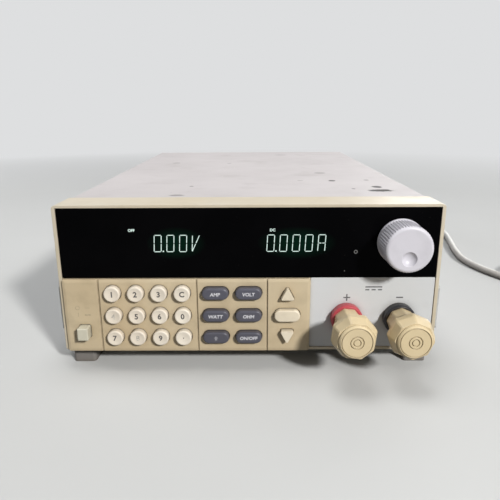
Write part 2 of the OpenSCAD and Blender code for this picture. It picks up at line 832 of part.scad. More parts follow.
// Octagonal nut: neck, flared grip, tapered front and a turned disc with rings
module nut(i) color([0.82, 0.76, 0.62]) {
    disc_t = 1.8;
    disc_r = nut_disc / 2;
    taper_end = disc_t + 5.2;
    grip_end = taper_end + 3.5;
    flare_end = grip_end + 9;
    // depth behind the disc's face, and width across flats there
    stations = [
        [disc_t, nut_disc + 1], [taper_end, nut_grip], [grip_end, nut_grip], [flare_end, nut_neck],
        [nut_l, nut_neck]
    ];
    turned(post_places[i], nut_front) difference() {
        union() {
            rotate(nut_clock[i]) octagon(stations);
            rotate_extrude() difference() {
                polygon([[0, 0], [disc_r - 0.8, 0], [disc_r, 0.8], [disc_r, disc_t + 1], [0, disc_t + 1]]);
                for (r = [disc_r * 0.34, disc_r * 0.17]) translate([r, -eps]) square([0.6, 0.5]);
                translate([disc_r - 1.5, -eps]) square([0.5, 0.45]);
            }
        }
        // blind thread
        translate([0, 0, nut_face]) cylinder(d = stud_d + 2 * stud_clear, h = nut_l);
        // recess of the washer
        translate([0, 0, nut_l - washer_t]) cylinder(d = washer_d + 2 * washer_gap, h = washer_t + eps);
    }
}
nut_clock = [6, 24];
nut_face = 3;
washer_gap = 0.3;

// Eight-sided column with cut corners through stations, each a height and a width across flats
module octagon(stations) {
    sides = 8;
    flat_share = 0.88;
    ring = 2 * sides;
    last = len(stations) - 1;
    points = [
        for (s = stations, k = [0 : ring - 1])
            let (
                turn = floor(k / 2) * 360 / sides,
                out = s[1] / 2,
                along = (k % 2 == 0 ? -1 : 1) * flat_share * out * tan(180 / sides)
            )
            [out * cos(turn) - along * sin(turn), out * sin(turn) + along * cos(turn), s[0]]
    ];
    walls = [
        for (i = [0 : last - 1], k = [0 : ring - 1])
            let (a = i * ring + k, b = i * ring + (k + 1) % ring)
            [a, a + ring, b + ring, b]
    ];
    near = [for (k = [0 : ring - 1]) k];
    far = [for (k = [ring - 1 : -1 : 0]) last * ring + k];
    polyhedron(points, concat(walls, [near, far]));
}

module positive_nut() { nut(0); }
module negative_nut() { nut(1); }
module positive_washer() { washer(0); }
module negative_washer() { washer(1); }

// Copper straps from the posts to the power board
module busbars() color([0.72, 0.45, 0.28]) for (p = post_places) difference() {
    rear = web_rear + stud_nut_h;
    strap_z = main_board_z + board_t;
    union() {
        upright(rear, busbar_t)
            box(p[0] - busbar_w / 2, p[0] + busbar_w / 2, strap_z, p[1] + busbar_w / 2);
        above(strap_z, busbar_t) translate([p[0] - busbar_w / 2, rear])
            square([busbar_w, main_board_front - rear + 18]);
    }
    turned(p, rear - eps) cylinder(d = stud_d + 2 * eps, h = busbar_t + 2 * eps);
}

// Case

// Outline of the cover across the case, grown inwards by in
module cover_outline(in) {
    bend = sheet_t * 2;
    x = cover_x - in;
    union() {
        translate([-x, base_z - 2 * bend]) square([2 * x, cover_z - in - base_z + bend]);
        translate([-x + bend, base_z]) square([2 * (x - bend), cover_z - in - base_z]);
        for (s = [-1, 1]) translate([s * (x - bend), cover_z - in - bend]) circle(bend);
    }
}

vent_count = 12;
vent_pitch = 7;
vent_w = 3;
vent_h = 30;
vent_front = 24;
vent_back = 150;
vent_groups = [frame_d + vent_front, case_d - vent_back];

// Folded sheet cover: top and two sides, with rows of vent slots in both sides
module top_cover() color([0.80, 0.78, 0.77]) difference() {
    upright(frame_d, case_d - frame_d) intersection() {
        difference() {
            cover_outline(0);
            cover_outline(sheet_t);
        }
        translate([-frame_w, base_z]) square([2 * frame_w, frame_h]);
    }
    for (start = vent_groups, i = [0 : vent_count - 1])
        across(0, 2 * frame_w) translate([start + i * vent_pitch, (floor_z + ceiling_z) / 2 + 4])
            rotate(90) stadium(vent_h, vent_w);
    for (t = cover_screws)
        translate([0, front_y + t, screw_z]) rotate([0, 90, 0])
            cylinder(d = screw_d + 2 * screw_gap, h = 2 * frame_w, center = true);
}

// Chassis pan with upturned sides and rear lip, and the standoffs of the power board
module chassis() color([0.72, 0.73, 0.74]) difference() {
    rear_lip = rear_in - sheet_t;
    union() {
        above(base_z, sheet_t) translate([-chassis_x, chassis_front])
            square([2 * chassis_x, rear_in - chassis_front]);
        for (s = [-1, 1]) above(base_z, sheet_t + flange_h)
            translate([s * (chassis_x - sheet_t / 2) - sheet_t / 2, chassis_front])
                square([sheet_t, rear_in - chassis_front]);
        // rear lip on both sides of the fan
        upright(rear_lip, sheet_t) {
            box(-chassis_x, fan_x - fan_w / 2 - 1, base_z, floor_z + lip_h);
            box(fan_x + fan_w / 2 + 1, chassis_x, base_z, floor_z + lip_h);
        }
        for (p = standoff_places) translate([p[0], front_y + p[1], floor_z - eps])
            cylinder(d = 6, h = standoff_h + eps);
        // tabs that carry the side pads' screws
        for (s = [-1, 1]) upright(chassis_front, frame_d - chassis_front - 0.5)
            translate([s * (chassis_x - sheet_t / 2), (base_z + pad_screw_z + 6) / 2])
                square([sheet_t, pad_screw_z + 6 - base_z], center = true);
    }
    for (t = cover_screws)
        translate([0, front_y + t, screw_z]) rotate([0, 90, 0])
            cylinder(d = screw_d + 2 * screw_gap, h = 2 * frame_w, center = true);
    translate([0, front_y + pad_screw_t, pad_screw_z]) rotate([0, 90, 0])
        cylinder(d = screw_d + 2 * screw_gap, h = 2 * frame_w, center = true);
    for (p = panel_screws)
        turned(p, rear_lip - 1) cylinder(d = screw_d + 2 * screw_gap, h = rear_t + sheet_t);
}
lip_h = 9;
standoff_places = [
    for (x = [main_board_left + 6, main_board_left + main_board_w - 6],
        t = [main_board_front + 6, main_board_front + main_board_l - 6]) [x, t]
];
lip_screw_up = 5;
lip_screw_side = 27;
panel_screws = [[inlet_x + lip_screw_side, floor_z + lip_screw_up], [port_x, floor_z + lip_screw_up]];
fan_screws = [for (sx = [-0.5, 0.5], sz = [-0.5, 0.5]) [fan_x + sx * fan_holes, fan_z + sz * fan_holes]];
inlet_screw_out = 20;
inlet_screws = [for (s = [-1, 1]) [inlet_x + s * inlet_screw_out, inlet_z]];
serial_up = 24;
sense_up = 54;
serial_place = [port_x, floor_z + serial_up];
sense_place = [port_x, floor_z + sense_up];

// Rear panel with a punched fan grille and the cut-outs of the fittings
module rear_panel() color([0.78, 0.77, 0.76]) difference() {
    upright(rear_in, rear_t)
        box(-inner_x + fit_gap, inner_x - fit_gap, base_z, ceiling_z - fit_gap);
    turned([fan_x, fan_z], rear_in - 1) grille_slots(rear_t + 2);
    for (p = concat(fan_screws, panel_screws, inlet_screws))
        turned(p, rear_in - 1) cylinder(d = screw_d + 2 * screw_gap, h = rear_t + 2);
    upright(rear_in - 1, rear_t + 2) {
        translate([inlet_x, inlet_z + inlet_mid])
            rounded_rect(inlet_w + 2 * fit_gap, inlet_h + 2 * fit_gap, 1.5);
        translate(serial_place) rounded_rect(serial_w + 2 * fit_gap, serial_h + 2 * fit_gap, 1.5);
        translate(sense_place) square([sense_w + 2 * fit_gap, sense_h + 2 * fit_gap], center = true);
    }
}
serial_w = 19;
serial_h = 10.6;
sense_w = 24;
sense_h = 9;

// Rings of slots, left whole along four spokes
module grille_slots(depth) {
    inner = 7;
    ring = (fan_bore - 1 - inner) / grille_rings;
    spoke = 5;
    linear_extrude(depth) difference() {
        for (i = [0 : grille_rings - 1]) difference() {
            circle(inner + (i + 1) * ring, $fn = 96);
            circle(inner + i * ring + grille_bar, $fn = 96);
        }
        for (turn = [45, 135]) rotate(turn) square([4 * fan_bore, spoke], center = true);
    }
}

module foot(x, t, top) {
    translate([x, front_y + t, 0]) difference() {
        linear_extrude(top) rounded_rect(foot_w, foot_l, 2);
        translate([0, 0, -eps]) cylinder(d = 6.5, h = 4);
    }
}
foot_x = frame_w / 2 - foot_in - foot_w / 2;
front_foot_t = foot_back + foot_l / 2;
rear_foot_t = case_d - 22;

module feet() color([0.32, 0.31, 0.30]) for (s = [-1, 1]) {
    foot(s * foot_x, min(front_foot_t, frame_d - foot_l / 2), foot_h);
    foot(s * (foot_x - cover_inset - sheet_t), rear_foot_t, base_z);
}

// Pads screwed to the sides of the frame
module side_pads() color([0.74, 0.75, 0.75]) for (s = [-1, 1]) difference() {
    translate([s * (frame_w / 2 + pad_out / 2), front_y + pad_screw_t, pad_screw_z])
        intersection() {
            rotate([90, 0, 90]) linear_extrude(pad_out, center = true)
                rounded_rect(frame_d - pad_back, pad_h, 2.5);
            // outer edges rounded, as seen from above and from the front
            linear_extrude(2 * pad_h, center = true)
                translate([-s * pad_out / 2, 0]) pad_section(frame_d - pad_back);
            rotate([90, 0, 0]) linear_extrude(2 * frame_d, center = true)
                translate([-s * pad_out / 2, 0]) pad_section(pad_h);
        }
    translate([s * frame_w / 2, front_y + pad_screw_t, pad_screw_z]) rotate([0, s * 90, 0]) {
        translate([0, 0, -1]) cylinder(d = screw_d + 2 * screw_gap, h = pad_out + 2);
        translate([0, 0, pad_out - pad_sink]) cylinder(d = pad_head + 0.8, h = pad_sink + 1);
    }
}
pad_head = 6.4;
pad_sink = 2.6;

// Block symmetrical about its inner face, with its outer corners rounded
module pad_section(w) {
    rounded_rect(2 * pad_out, w, 1.4);
}

module fasteners() color([0.70, 0.70, 0.71]) {
    for (s = [-1, 1]) {
        for (t = cover_screws) side_screw(s, cover_x, t, screw_z, 6, 1.6, sheet_t * 3);
        side_screw(s, frame_w / 2 + pad_out - pad_sink, pad_screw_t, pad_screw_z, pad_head, 2,
            pad_out - pad_sink + frame_side + sheet_t + 3);
    }
    for (p = fan_screws) rear_screw(p, case_d, rear_t + 6);
    for (p = panel_screws) rear_screw(p, case_d, rear_t + sheet_t + 2);
    for (p = inlet_screws) rear_screw(p, case_d + inlet_flange, inlet_flange + rear_t + 3);
    // nuts on the studs, two each with the busbar between them
    for (p = post_places, back = [web_rear, web_rear + stud_nut_h + busbar_t])
        turned(p, back) difference() {
            cylinder(d = stud_nut_af / cos(30), h = stud_nut_h, $fn = 6);
            translate([0, 0, -eps]) cylinder(d = stud_d + 2 * eps, h = stud_nut_h + 2 * eps);
        }
    // nut on the encoder's neck
    turned([knob_x, knob_z], window_back - 2) difference() {
        cylinder(d = (neck_d + 3) / cos(30), h = 2, $fn = 6);
        translate([0, 0, -eps]) cylinder(d = neck_d + 2 * eps, h = 2 + 2 * eps);
    }
}

// Cooling

// Finned extrusion, its flat back towards the power board
module heatsink() color([0.70, 0.71, 0.72]) {
    pitch = (sink_h - fin_t) / (fin_count - 1);
    upright(sink_back, sink_l) {
        box(sink_x - sink_base, sink_x, floor_z, floor_z + sink_h);
        for (i = [0 : fin_count - 1])
            box(sink_x - sink_w, sink_x - sink_base + eps,
                floor_z + i * pitch, floor_z + i * pitch + fin_t);
    }
}

// Square fan frame: ring, motor plate on struts at the outer side and a bearing tube
module fan_frame() color([0.08, 0.08, 0.09]) difference() {
    place = [fan_x, fan_z];
    union() {
        difference() {
            upright(fan_back, fan_d) translate(place) rounded_rect(fan_w, fan_w, 4);
            turned(place, fan_back - eps) cylinder(r = fan_bore, h = fan_d + 2 * eps, $fn = 96);
        }
        turned(place, rear_in - strut_t) cylinder(d = fan_hub, h = strut_t);
        upright(rear_in - strut_t, strut_t) translate(place) intersection() {
            for (turn = [0, 90]) rotate(turn + 20) square([2 * fan_bore + 1, 4], center = true);
            circle(fan_bore + 0.5, $fn = 96);
        }
        turned(place, fan_back + 8) cylinder(d = fan_shaft + 4, h = fan_d - 8 - strut_t + eps);
    }
    turned(place, fan_back + 7) cylinder(d = fan_shaft + 2 * shaft_clear, h = fan_d - 9);
    for (p = fan_screws) turned(p, fan_back - 1) cylinder(d = screw_d + 2 * screw_gap, h = fan_d + 2);
}

// Rotor: cupped hub on a shaft, with cambered blades cut from tubes
module fan_rotor() color([0.10, 0.10, 0.11]) {
    place = [fan_x, fan_z];
    front = fan_back + 1;
    blade_d = fan_d - strut_t - 3.5;
    camber_r = 26;
    turned(place, front) {
        difference() {
            cylinder(d = fan_hub - 1, h = blade_d);
            translate([0, 0, 3]) cylinder(d = fan_hub - 4, h = blade_d);
        }
        cylinder(d = fan_shaft, h = fan_d - 5);
        for (i = [0 : fan_blades - 1]) rotate(i * 360 / fan_blades) intersection() {
            difference() {
                cylinder(r = fan_bore - fan_tip, h = blade_d, $fn = 96);
                translate([0, 0, -1]) cylinder(d = fan_hub - 2, h = blade_d + 2);
            }
            translate([0, camber_r * 0.75, blade_d / 2 - camber_r * 0.66]) rotate([0, 90, 0]) difference() {
                cylinder(r = camber_r + 0.9, h = fan_w, $fn = 96);
                translate([0, 0, -1]) cylinder(r = camber_r - 0.9, h = fan_w + 2, $fn = 96);
            }
            translate([0, -fan_w, 0]) cube([fan_w, fan_w + camber_r * 0.7, blade_d]);
        }
    }
}

// Power electronics

module main_board() color([0.10, 0.30, 0.17])
    above(main_board_z, board_t)
        translate([main_board_left, main_board_front]) square([main_board_w, main_board_l]);

// Power transistors on the heat sink, reservoir capacitors, a relay and a connector
module board_components() color([0.14, 0.14, 0.15]) {
    top = main_board_z + board_t;
    for (i = [0 : transistor_count - 1])
        translate([sink_x, front_y + sink_back + transistor_start + i * transistor_pitch, top]) {
            translate([0, 0, lead_l]) difference() {
                cube([transistor_t, transistor_w, transistor_h]);
                translate([-1, transistor_w / 2, transistor_h * 0.76]) rotate([0, 90, 0])
                    cylinder(d = screw_d + 3 * screw_gap, h = transistor_t + 2);
            }
            for (k = [-1, 0, 1])
                translate([transistor_t * 0.4, transistor_w / 2 + k * lead_pitch - lead_w / 2, 0])
                    cube([lead_w, lead_w, lead_l + eps]);
        }
    for (i = [-1, 0, 1]) translate([
        main_board_left + main_board_w / 2 + i * capacitor_pitch,
        front_y + main_board_front + main_board_l - capacitor_back, top
    ]) rotate_extrude() capacitor_profile();
    translate([main_board_left + relay_in, front_y + main_board_front + relay_back, top])
        cube([relay_w, relay_l, relay_h]);
    translate([main_board_left + header_in, front_y + main_board_front + header_back, top]) difference() {
        cube([header_w, header_l, header_h]);
        translate([header_wall, header_wall, header_h / 4])
            cube([header_w - 2 * header_wall, header_l - 2 * header_wall, header_h]);
    }
}
transistor_count = 4;
transistor_t = 5;
transistor_w = 16;
transistor_h = 21;
transistor_pitch = 22;
transistor_start = 8;
lead_l = 8;
lead_w = 1;
lead_pitch = 5.4;
capacitor_r = 9;
capacitor_h = 34;
capacitor_lip = 1;
capacitor_pitch = 24;
capacitor_back = 40;
relay_w = 28;
relay_l = 13;
relay_h = 25;
relay_in = 30;
relay_back = 90;
header_w = 8;
header_l = 30;
header_h = 12;
header_wall = 1.2;
header_in = 76;
header_back = 60;

// Half section of a can, its sleeve turned over the rim
module capacitor_profile() {
    rim = capacitor_r - capacitor_lip;
    polygon([
        [0, 0], [capacitor_r, 0], [capacitor_r, capacitor_h - capacitor_lip], [rim, capacitor_h],
        [rim - capacitor_lip, capacitor_h], [rim - capacitor_lip, capacitor_h - 0.6], [0, capacitor_h - 0.6]
    ]);
}

// Mains transformer: laminated core, winding and fixing feet
module transformer() color([0.45, 0.42, 0.38])
    translate([inlet_x - transformer_shift, front_y + transformer_t, floor_z]) {
        translate([0, -transformer_d / 2, transformer_h / 2])
            rotate([-90, 0, 0]) linear_extrude(transformer_d) difference() {
                rounded_rect(transformer_w, transformer_h, 1);
                for (s = [-1, 1]) translate([s * transformer_w / 4, 0])
                    square([transformer_w / 6, transformer_h * 0.66], center = true);
            }
        translate([0, 0, transformer_h / 2]) linear_extrude(transformer_h * 0.62, center = true)
            rounded_rect(transformer_w / 3 + 2 * winding_out, transformer_d + 2 * winding_out, 4);
        for (s = [-1, 1]) translate([s * (transformer_w / 2 + tab_w / 4), 0, 0]) linear_extrude(tab_t)
            rounded_rect(tab_w, transformer_d, 2);
    }
transformer_shift = 4;
tab_w = 12;
tab_t = 2;

// Rear fittings

inlet_flange = 2.6;
inlet_deep = 22;
inlet_ear_w = 50;
inlet_ear_h = 11;

// Flanged mains inlet: socket with three blades above a closed fuse drawer
module mains_inlet() color([0.09, 0.09, 0.10]) {
    difference() {
        union() {
            upright(case_d, inlet_flange) translate([inlet_x, inlet_z + inlet_mid]) {
                rounded_rect(inlet_w + 2 * inlet_rim, inlet_h + 2 * inlet_rim, 3);
                translate([0, -inlet_mid]) stadium(inlet_ear_w, inlet_ear_h);
            }
            upright(case_d - inlet_deep, inlet_deep + eps) translate([inlet_x, inlet_z + inlet_mid])
                rounded_rect(inlet_w, inlet_h, 1.5);
        }
        upright(case_d + inlet_flange - socket_deep, socket_deep + 1) translate([inlet_x, inlet_z])
            socket_outline(socket_w, socket_h);
        for (p = inlet_screws)
            turned(p, case_d - 1) cylinder(d = screw_d + 2 * screw_gap, h = inlet_flange + 2);
        // recess of the fuse drawer
        upright(case_d + inlet_flange - drawer_deep, 2 * drawer_deep)
            translate([inlet_x, inlet_z - drawer_drop]) rounded_rect(drawer_w, drawer_h, 1);
    }
    upright(case_d + inlet_flange - socket_deep - eps, socket_deep - 3) for (b = blade_places)
        translate([inlet_x + b[0], inlet_z + b[1]]) square([2, 4], center = true);
    upright(case_d + inlet_flange - drawer_deep - eps, drawer_deep + 0.4)
        translate([inlet_x, inlet_z - drawer_drop]) rounded_rect(drawer_w - 1.2, drawer_h - 1.2, 1);
}
blade_places = [[-7, -2], [7, -2], [0, 2]];
drawer_w = 23;
drawer_h = 9.4;
drawer_deep = 1.2;
drawer_drop = 18;

// Socket shape: rectangle with its two upper corners cut
module socket_outline(w, h) {
    cut = h * 0.28;
    polygon([
        [-w / 2, -h / 2], [w / 2, -h / 2], [w / 2, h / 2 - cut],
        [w / 2 - cut, h / 2], [-w / 2 + cut, h / 2], [-w / 2, h / 2 - cut]
    ]);
}

// D-shaped serial port with its flange and two hexagonal posts
module serial_port() color([0.62, 0.63, 0.65]) {
    flange_t = 1;
    lug_w = 31;
    lug_h = 12.6;
    pin_d = 1.1;
    pin_pitch = 2.76;
    pin_rise = 1.4;
    post_out = 12.5;
    // upper row of five sockets, lower row of four
    pins = concat(
        [for (i = [0 : 4]) serial_place + [(i - 2) * pin_pitch, pin_rise]],
        [for (i = [0 : 3]) serial_place + [(i - 1.5) * pin_pitch, -pin_rise]]
    );
    difference() {
        union() {
            upright(case_d, flange_t) translate(serial_place) rounded_rect(lug_w, lug_h, 2);
            upright(case_d - 8, 8 + serial_reach)
                translate(serial_place) d_outline(serial_w - 1, serial_h - 1.4);
        }
        for (p = pins) turned(p, case_d + flange_t) cylinder(d = pin_d, h = serial_reach);
    }
    for (s = [-1, 1])
        turned(serial_place + [s * post_out, 0], case_d + flange_t - eps) difference() {
            cylinder(d = 5.2, h = 4.6, $fn = 6);
            translate([0, 0, 1.5]) cylinder(d = 2.6, h = 4);
        }
}

module d_outline(w, h) {
    polygon([[-w / 2, h / 2], [w / 2, h / 2], [w / 2 - h * 0.18, -h / 2], [-w / 2 + h * 0.18, -h / 2]]);
}

// Screw terminals for remote sensing
module sense_terminals() color([0.13, 0.30, 0.16]) {
    ways = 4;
    pitch = sense_w / ways;
    difference() {
        upright(case_d - 10, 10 + sense_reach)
            translate(sense_place) square([sense_w, sense_h], center = true);
        for (i = [0 : ways - 1]) {
            x = sense_place[0] + (i - (ways - 1) / 2) * pitch;
            // wire entry, and the well of its screw above it
            upright(case_d + sense_reach - 5, 6)
                translate([x, sense_place[1] - 1.8]) square([3, 2.6], center = true);
            turned([x, sense_place[1] + 2], case_d + sense_reach - 2) cylinder(d = 2.8, h = 3);
        }
    }
}

// Mains lead

// Moulded connector in the inlet, with a tapered strain relief
module cord_connector() color([0.80, 0.80, 0.80]) {
    nose = socket_deep - 1.5;
    place = [inlet_x, inlet_z];
    grip_w = socket_w + 2.4;
    grip_h = socket_h + 1;
    seat = case_d + inlet_flange + 0.3;
    grip_l = case_d + connector_l - seat;
    difference() {
        upright(seat - nose, nose + eps) translate(place) socket_outline(socket_w - 0.6, socket_h - 0.6);
        upright(seat - nose - 1, socket_deep) for (b = blade_places)
            translate([place[0] + b[0], place[1] + b[1]]) square([2.6, 4.6], center = true);
    }
    soft_grip(place, grip_w, grip_h, seat, grip_l);
    turned([place[0], place[1]], case_d + connector_l - eps) rotate_extrude()
        polygon([[0, 0], [6.4, 0], [6.4, 3], [cord_d / 2 + 1, relief_l], [0, relief_l]]);
}

module soft_grip(place, w, h, back, long) {
    intersection() {
        upright(back, long) translate(place) rounded_rect(w, h, 3);
        above(place[1] - h, 2 * h) translate([place[0], back]) polygon([
            [-w / 2, 0], [w / 2, 0], [w / 2, long * 0.45], [w / 2 - 5, long * 0.7],
            [w / 2 - 6, long], [-w / 2 + 6, long], [-w / 2 + 5, long * 0.7], [-w / 2, long * 0.45]
        ]);
    }
}

// Sweep of the lead: a ring of points at each point of the route
function unit(v) = v / norm(v);
function heading(path, i) = unit(path[min(i + 1, len(path) - 1)] - path[max(i - 1, 0)]);
function ring_points(path, i, r, sides) =
    let (
        along = heading(path, i),
        side = unit(cross(along, [0, 0, 1])),
        up = cross(side, along)
    )
    [for (k = [0 : sides - 1]) path[i] + r * (cos(k * 360 / sides) * side + sin(k * 360 / sides) * up)];

module power_cord() color([0.82, 0.82, 0.82]) {
    rings = len(cord_route);
    last = (rings - 1) * cord_sides;
    points = [for (i = [0 : rings - 1]) each ring_points(cord_route, i, cord_d / 2, cord_sides)];
    walls = [
        for (i = [0 : rings - 2], k = [0 : cord_sides - 1])
            let (a = i * cord_sides + k, b = i * cord_sides + (k + 1) % cord_sides)
            [a, b, b + cord_sides, a + cord_sides]
    ];
    near = [for (k = [cord_sides - 1 : -1 : 0]) k];
    far = [for (k = [0 : cord_sides - 1]) last + k];
    polyhedron(points, concat(walls, [near, far]));
}

module cord_coil() color([0.82, 0.82, 0.82])
    translate([coil_x, coil_y, 0]) rotate_extrude()
        translate([(coil_in + coil_out) / 2, coil_h / 2])
            rounded_rect(coil_out - coil_in, coil_h, cord_d / 2);

// Mains plug beside the coil: strain relief, moulded body and three flat blades
module cord_plug() color([0.80, 0.80, 0.80]) {
    body_w = 24;
    body_h = 17;
    grip_w = 15;
    relief_r = 5.2;
    translate([plug_x, plug_y, plug_z]) rotate([-90, 0, 0]) {
        rotate_extrude()
            polygon([
                [0, 0], [cord_d / 2 + 0.6, 0], [relief_r, plug_relief - 3],
                [relief_r, plug_relief], [0, plug_relief]
            ]);
        translate([0, 0, plug_relief - eps]) intersection() {
            linear_extrude(plug_l) rounded_rect(body_w, body_h, 4);
            rotate([-90, 0, 0]) linear_extrude(2 * body_h, center = true) mirror([0, 1]) polygon([
                [-grip_w / 2, 0], [grip_w / 2, 0], [grip_w / 2 + 0.6, plug_l * 0.45],
                [body_w / 2, plug_l * 0.7], [body_w / 2, plug_l], [-body_w / 2, plug_l],
                [-body_w / 2, plug_l * 0.7], [-grip_w / 2 - 0.6, plug_l * 0.45]
            ]);
        }
        for (b = [[-6.5, -2.5, 30], [6.5, -2.5, -30], [0, 4, 0]])
            translate([b[0], b[1], plug_relief + plug_l - 2 * eps]) rotate(b[2])
                linear_extrude(17) square([1.6, 6], center = true);
    }
}

front_frame();
display_window();
display_module();
key_panel();
input_plate();
key_board();
key_switches();
encoder_body();
fasteners();
red_collar();
black_collar();
terminal_studs();
busbars();
power_switch();
chassis();
top_cover();
rear_panel();
feet();
side_pads();
heatsink();
main_board();
board_components();
transformer();
fan_frame();
mains_inlet();
serial_port();
sense_terminals();
cord_connector();
power_cord();
cord_coil();
cord_plug();
for (i = [0 : len(NUMBER_KEYS) - 1])
    number_key(i);
for (i = [0 : len(FUNCTION_KEYS) - 1])
    function_key(i);
up_key();
down_key();
enter_key();
power_button();
encoder_knob();
encoder_shaft();
positive_nut();
negative_nut();
positive_washer();
negative_washer();
fan_rotor();
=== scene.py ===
import math

import bmesh
import bpy
from mathutils import Matrix, Vector


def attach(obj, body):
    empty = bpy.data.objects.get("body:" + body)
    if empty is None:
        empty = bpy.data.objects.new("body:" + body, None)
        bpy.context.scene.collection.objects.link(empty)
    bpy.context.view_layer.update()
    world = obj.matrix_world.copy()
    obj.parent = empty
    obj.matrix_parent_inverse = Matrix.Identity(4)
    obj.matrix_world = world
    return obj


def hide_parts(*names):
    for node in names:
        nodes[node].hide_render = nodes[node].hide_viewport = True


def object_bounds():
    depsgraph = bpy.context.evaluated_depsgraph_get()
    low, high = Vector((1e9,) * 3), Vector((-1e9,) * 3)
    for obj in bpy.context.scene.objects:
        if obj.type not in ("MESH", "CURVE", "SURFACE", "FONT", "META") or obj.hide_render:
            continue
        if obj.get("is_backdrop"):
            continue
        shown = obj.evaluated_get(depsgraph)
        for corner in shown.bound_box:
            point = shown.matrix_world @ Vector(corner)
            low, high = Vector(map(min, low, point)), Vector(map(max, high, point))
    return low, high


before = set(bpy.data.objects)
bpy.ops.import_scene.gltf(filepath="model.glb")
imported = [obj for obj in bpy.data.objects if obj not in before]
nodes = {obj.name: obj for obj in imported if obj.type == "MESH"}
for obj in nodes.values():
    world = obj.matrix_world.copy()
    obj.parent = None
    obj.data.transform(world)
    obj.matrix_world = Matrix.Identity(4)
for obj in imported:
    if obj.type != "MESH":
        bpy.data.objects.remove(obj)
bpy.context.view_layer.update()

# Looks of a bench DC electronic load, built round its CAD model.
# Metres: +X to the right seen from the front, +Y to the rear, +Z up. Sizes are in millimetres times MM.
MM = 0.001

# Places taken from the CAD source
KEY_FACE = -161.9 * MM
KEYPAD_FACE = -158.5 * MM
PLATE_FACE = -156.0 * MM
WINDOW_FACE = -156.1 * MM
ROWS = [46.8 * MM, 33.5 * MM, 20.2 * MM]
NUMBER_COLUMNS = [-76.7 * MM, -63.6 * MM, -50.5 * MM, -37.4 * MM]
FUNCTION_COLUMNS = [-18.75 * MM, -0.05 * MM]
DISH_RADIUS = 16 * MM
DISH_DEPTH = 0.45 * MM
POSTS = [55.9 * MM, 85.9 * MM]


def srgb(red, green, blue):
    """Linear colour from values of 0 to 255 as a screen shows them."""
    def linear(value):
        value /= 255
        return value / 12.92 if value <= 0.04045 else ((value + 0.055) / 1.055) ** 2.4
    return (linear(red), linear(green), linear(blue), 1.0)


def add_object(name, data):
    made = bpy.data.objects.new(name, data)
    bpy.context.scene.collection.objects.link(made)
    return made


def add_piece(name, mesh, material, body):
    """A new piece that moves with a CAD body and takes the finish it is given."""
    piece = add_object(name, mesh)
    piece.data.materials.append(material)
    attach(piece, body)
    return piece


# Camera, at the place and angle of the photograph

CAMERA_PLACE = Vector((3.01, -426.71, 147.43)) * MM
CAMERA_PITCH = math.radians(15.765)
CAMERA_YAW = math.radians(-0.444)
CAMERA_ROLL = math.radians(-0.317)
CAMERA_LENS = 36.468
SENSOR = 36.0
NEAREST = 10 * MM


def make_camera():
    level = math.cos(CAMERA_PITCH)
    ahead = Vector((math.sin(CAMERA_YAW) * level, math.cos(CAMERA_YAW) * level, -math.sin(CAMERA_PITCH)))
    right = Vector((math.cos(CAMERA_YAW), -math.sin(CAMERA_YAW), 0))
    up = right.cross(ahead)
    turned_right = right * math.cos(CAMERA_ROLL) + up * math.sin(CAMERA_ROLL)
    turned_up = up * math.cos(CAMERA_ROLL) - right * math.sin(CAMERA_ROLL)
    lens = bpy.data.cameras.new("camera")
    lens.lens = CAMERA_LENS
    lens.sensor_width = SENSOR
    lens.clip_start = NEAREST
    camera = add_object("camera", lens)
    axes = Matrix((turned_right, turned_up, -ahead)).transposed()
    camera.matrix_world = Matrix.Translation(CAMERA_PLACE) @ axes.to_4x4()
    bpy.context.scene.camera = camera


make_camera()


# Materials

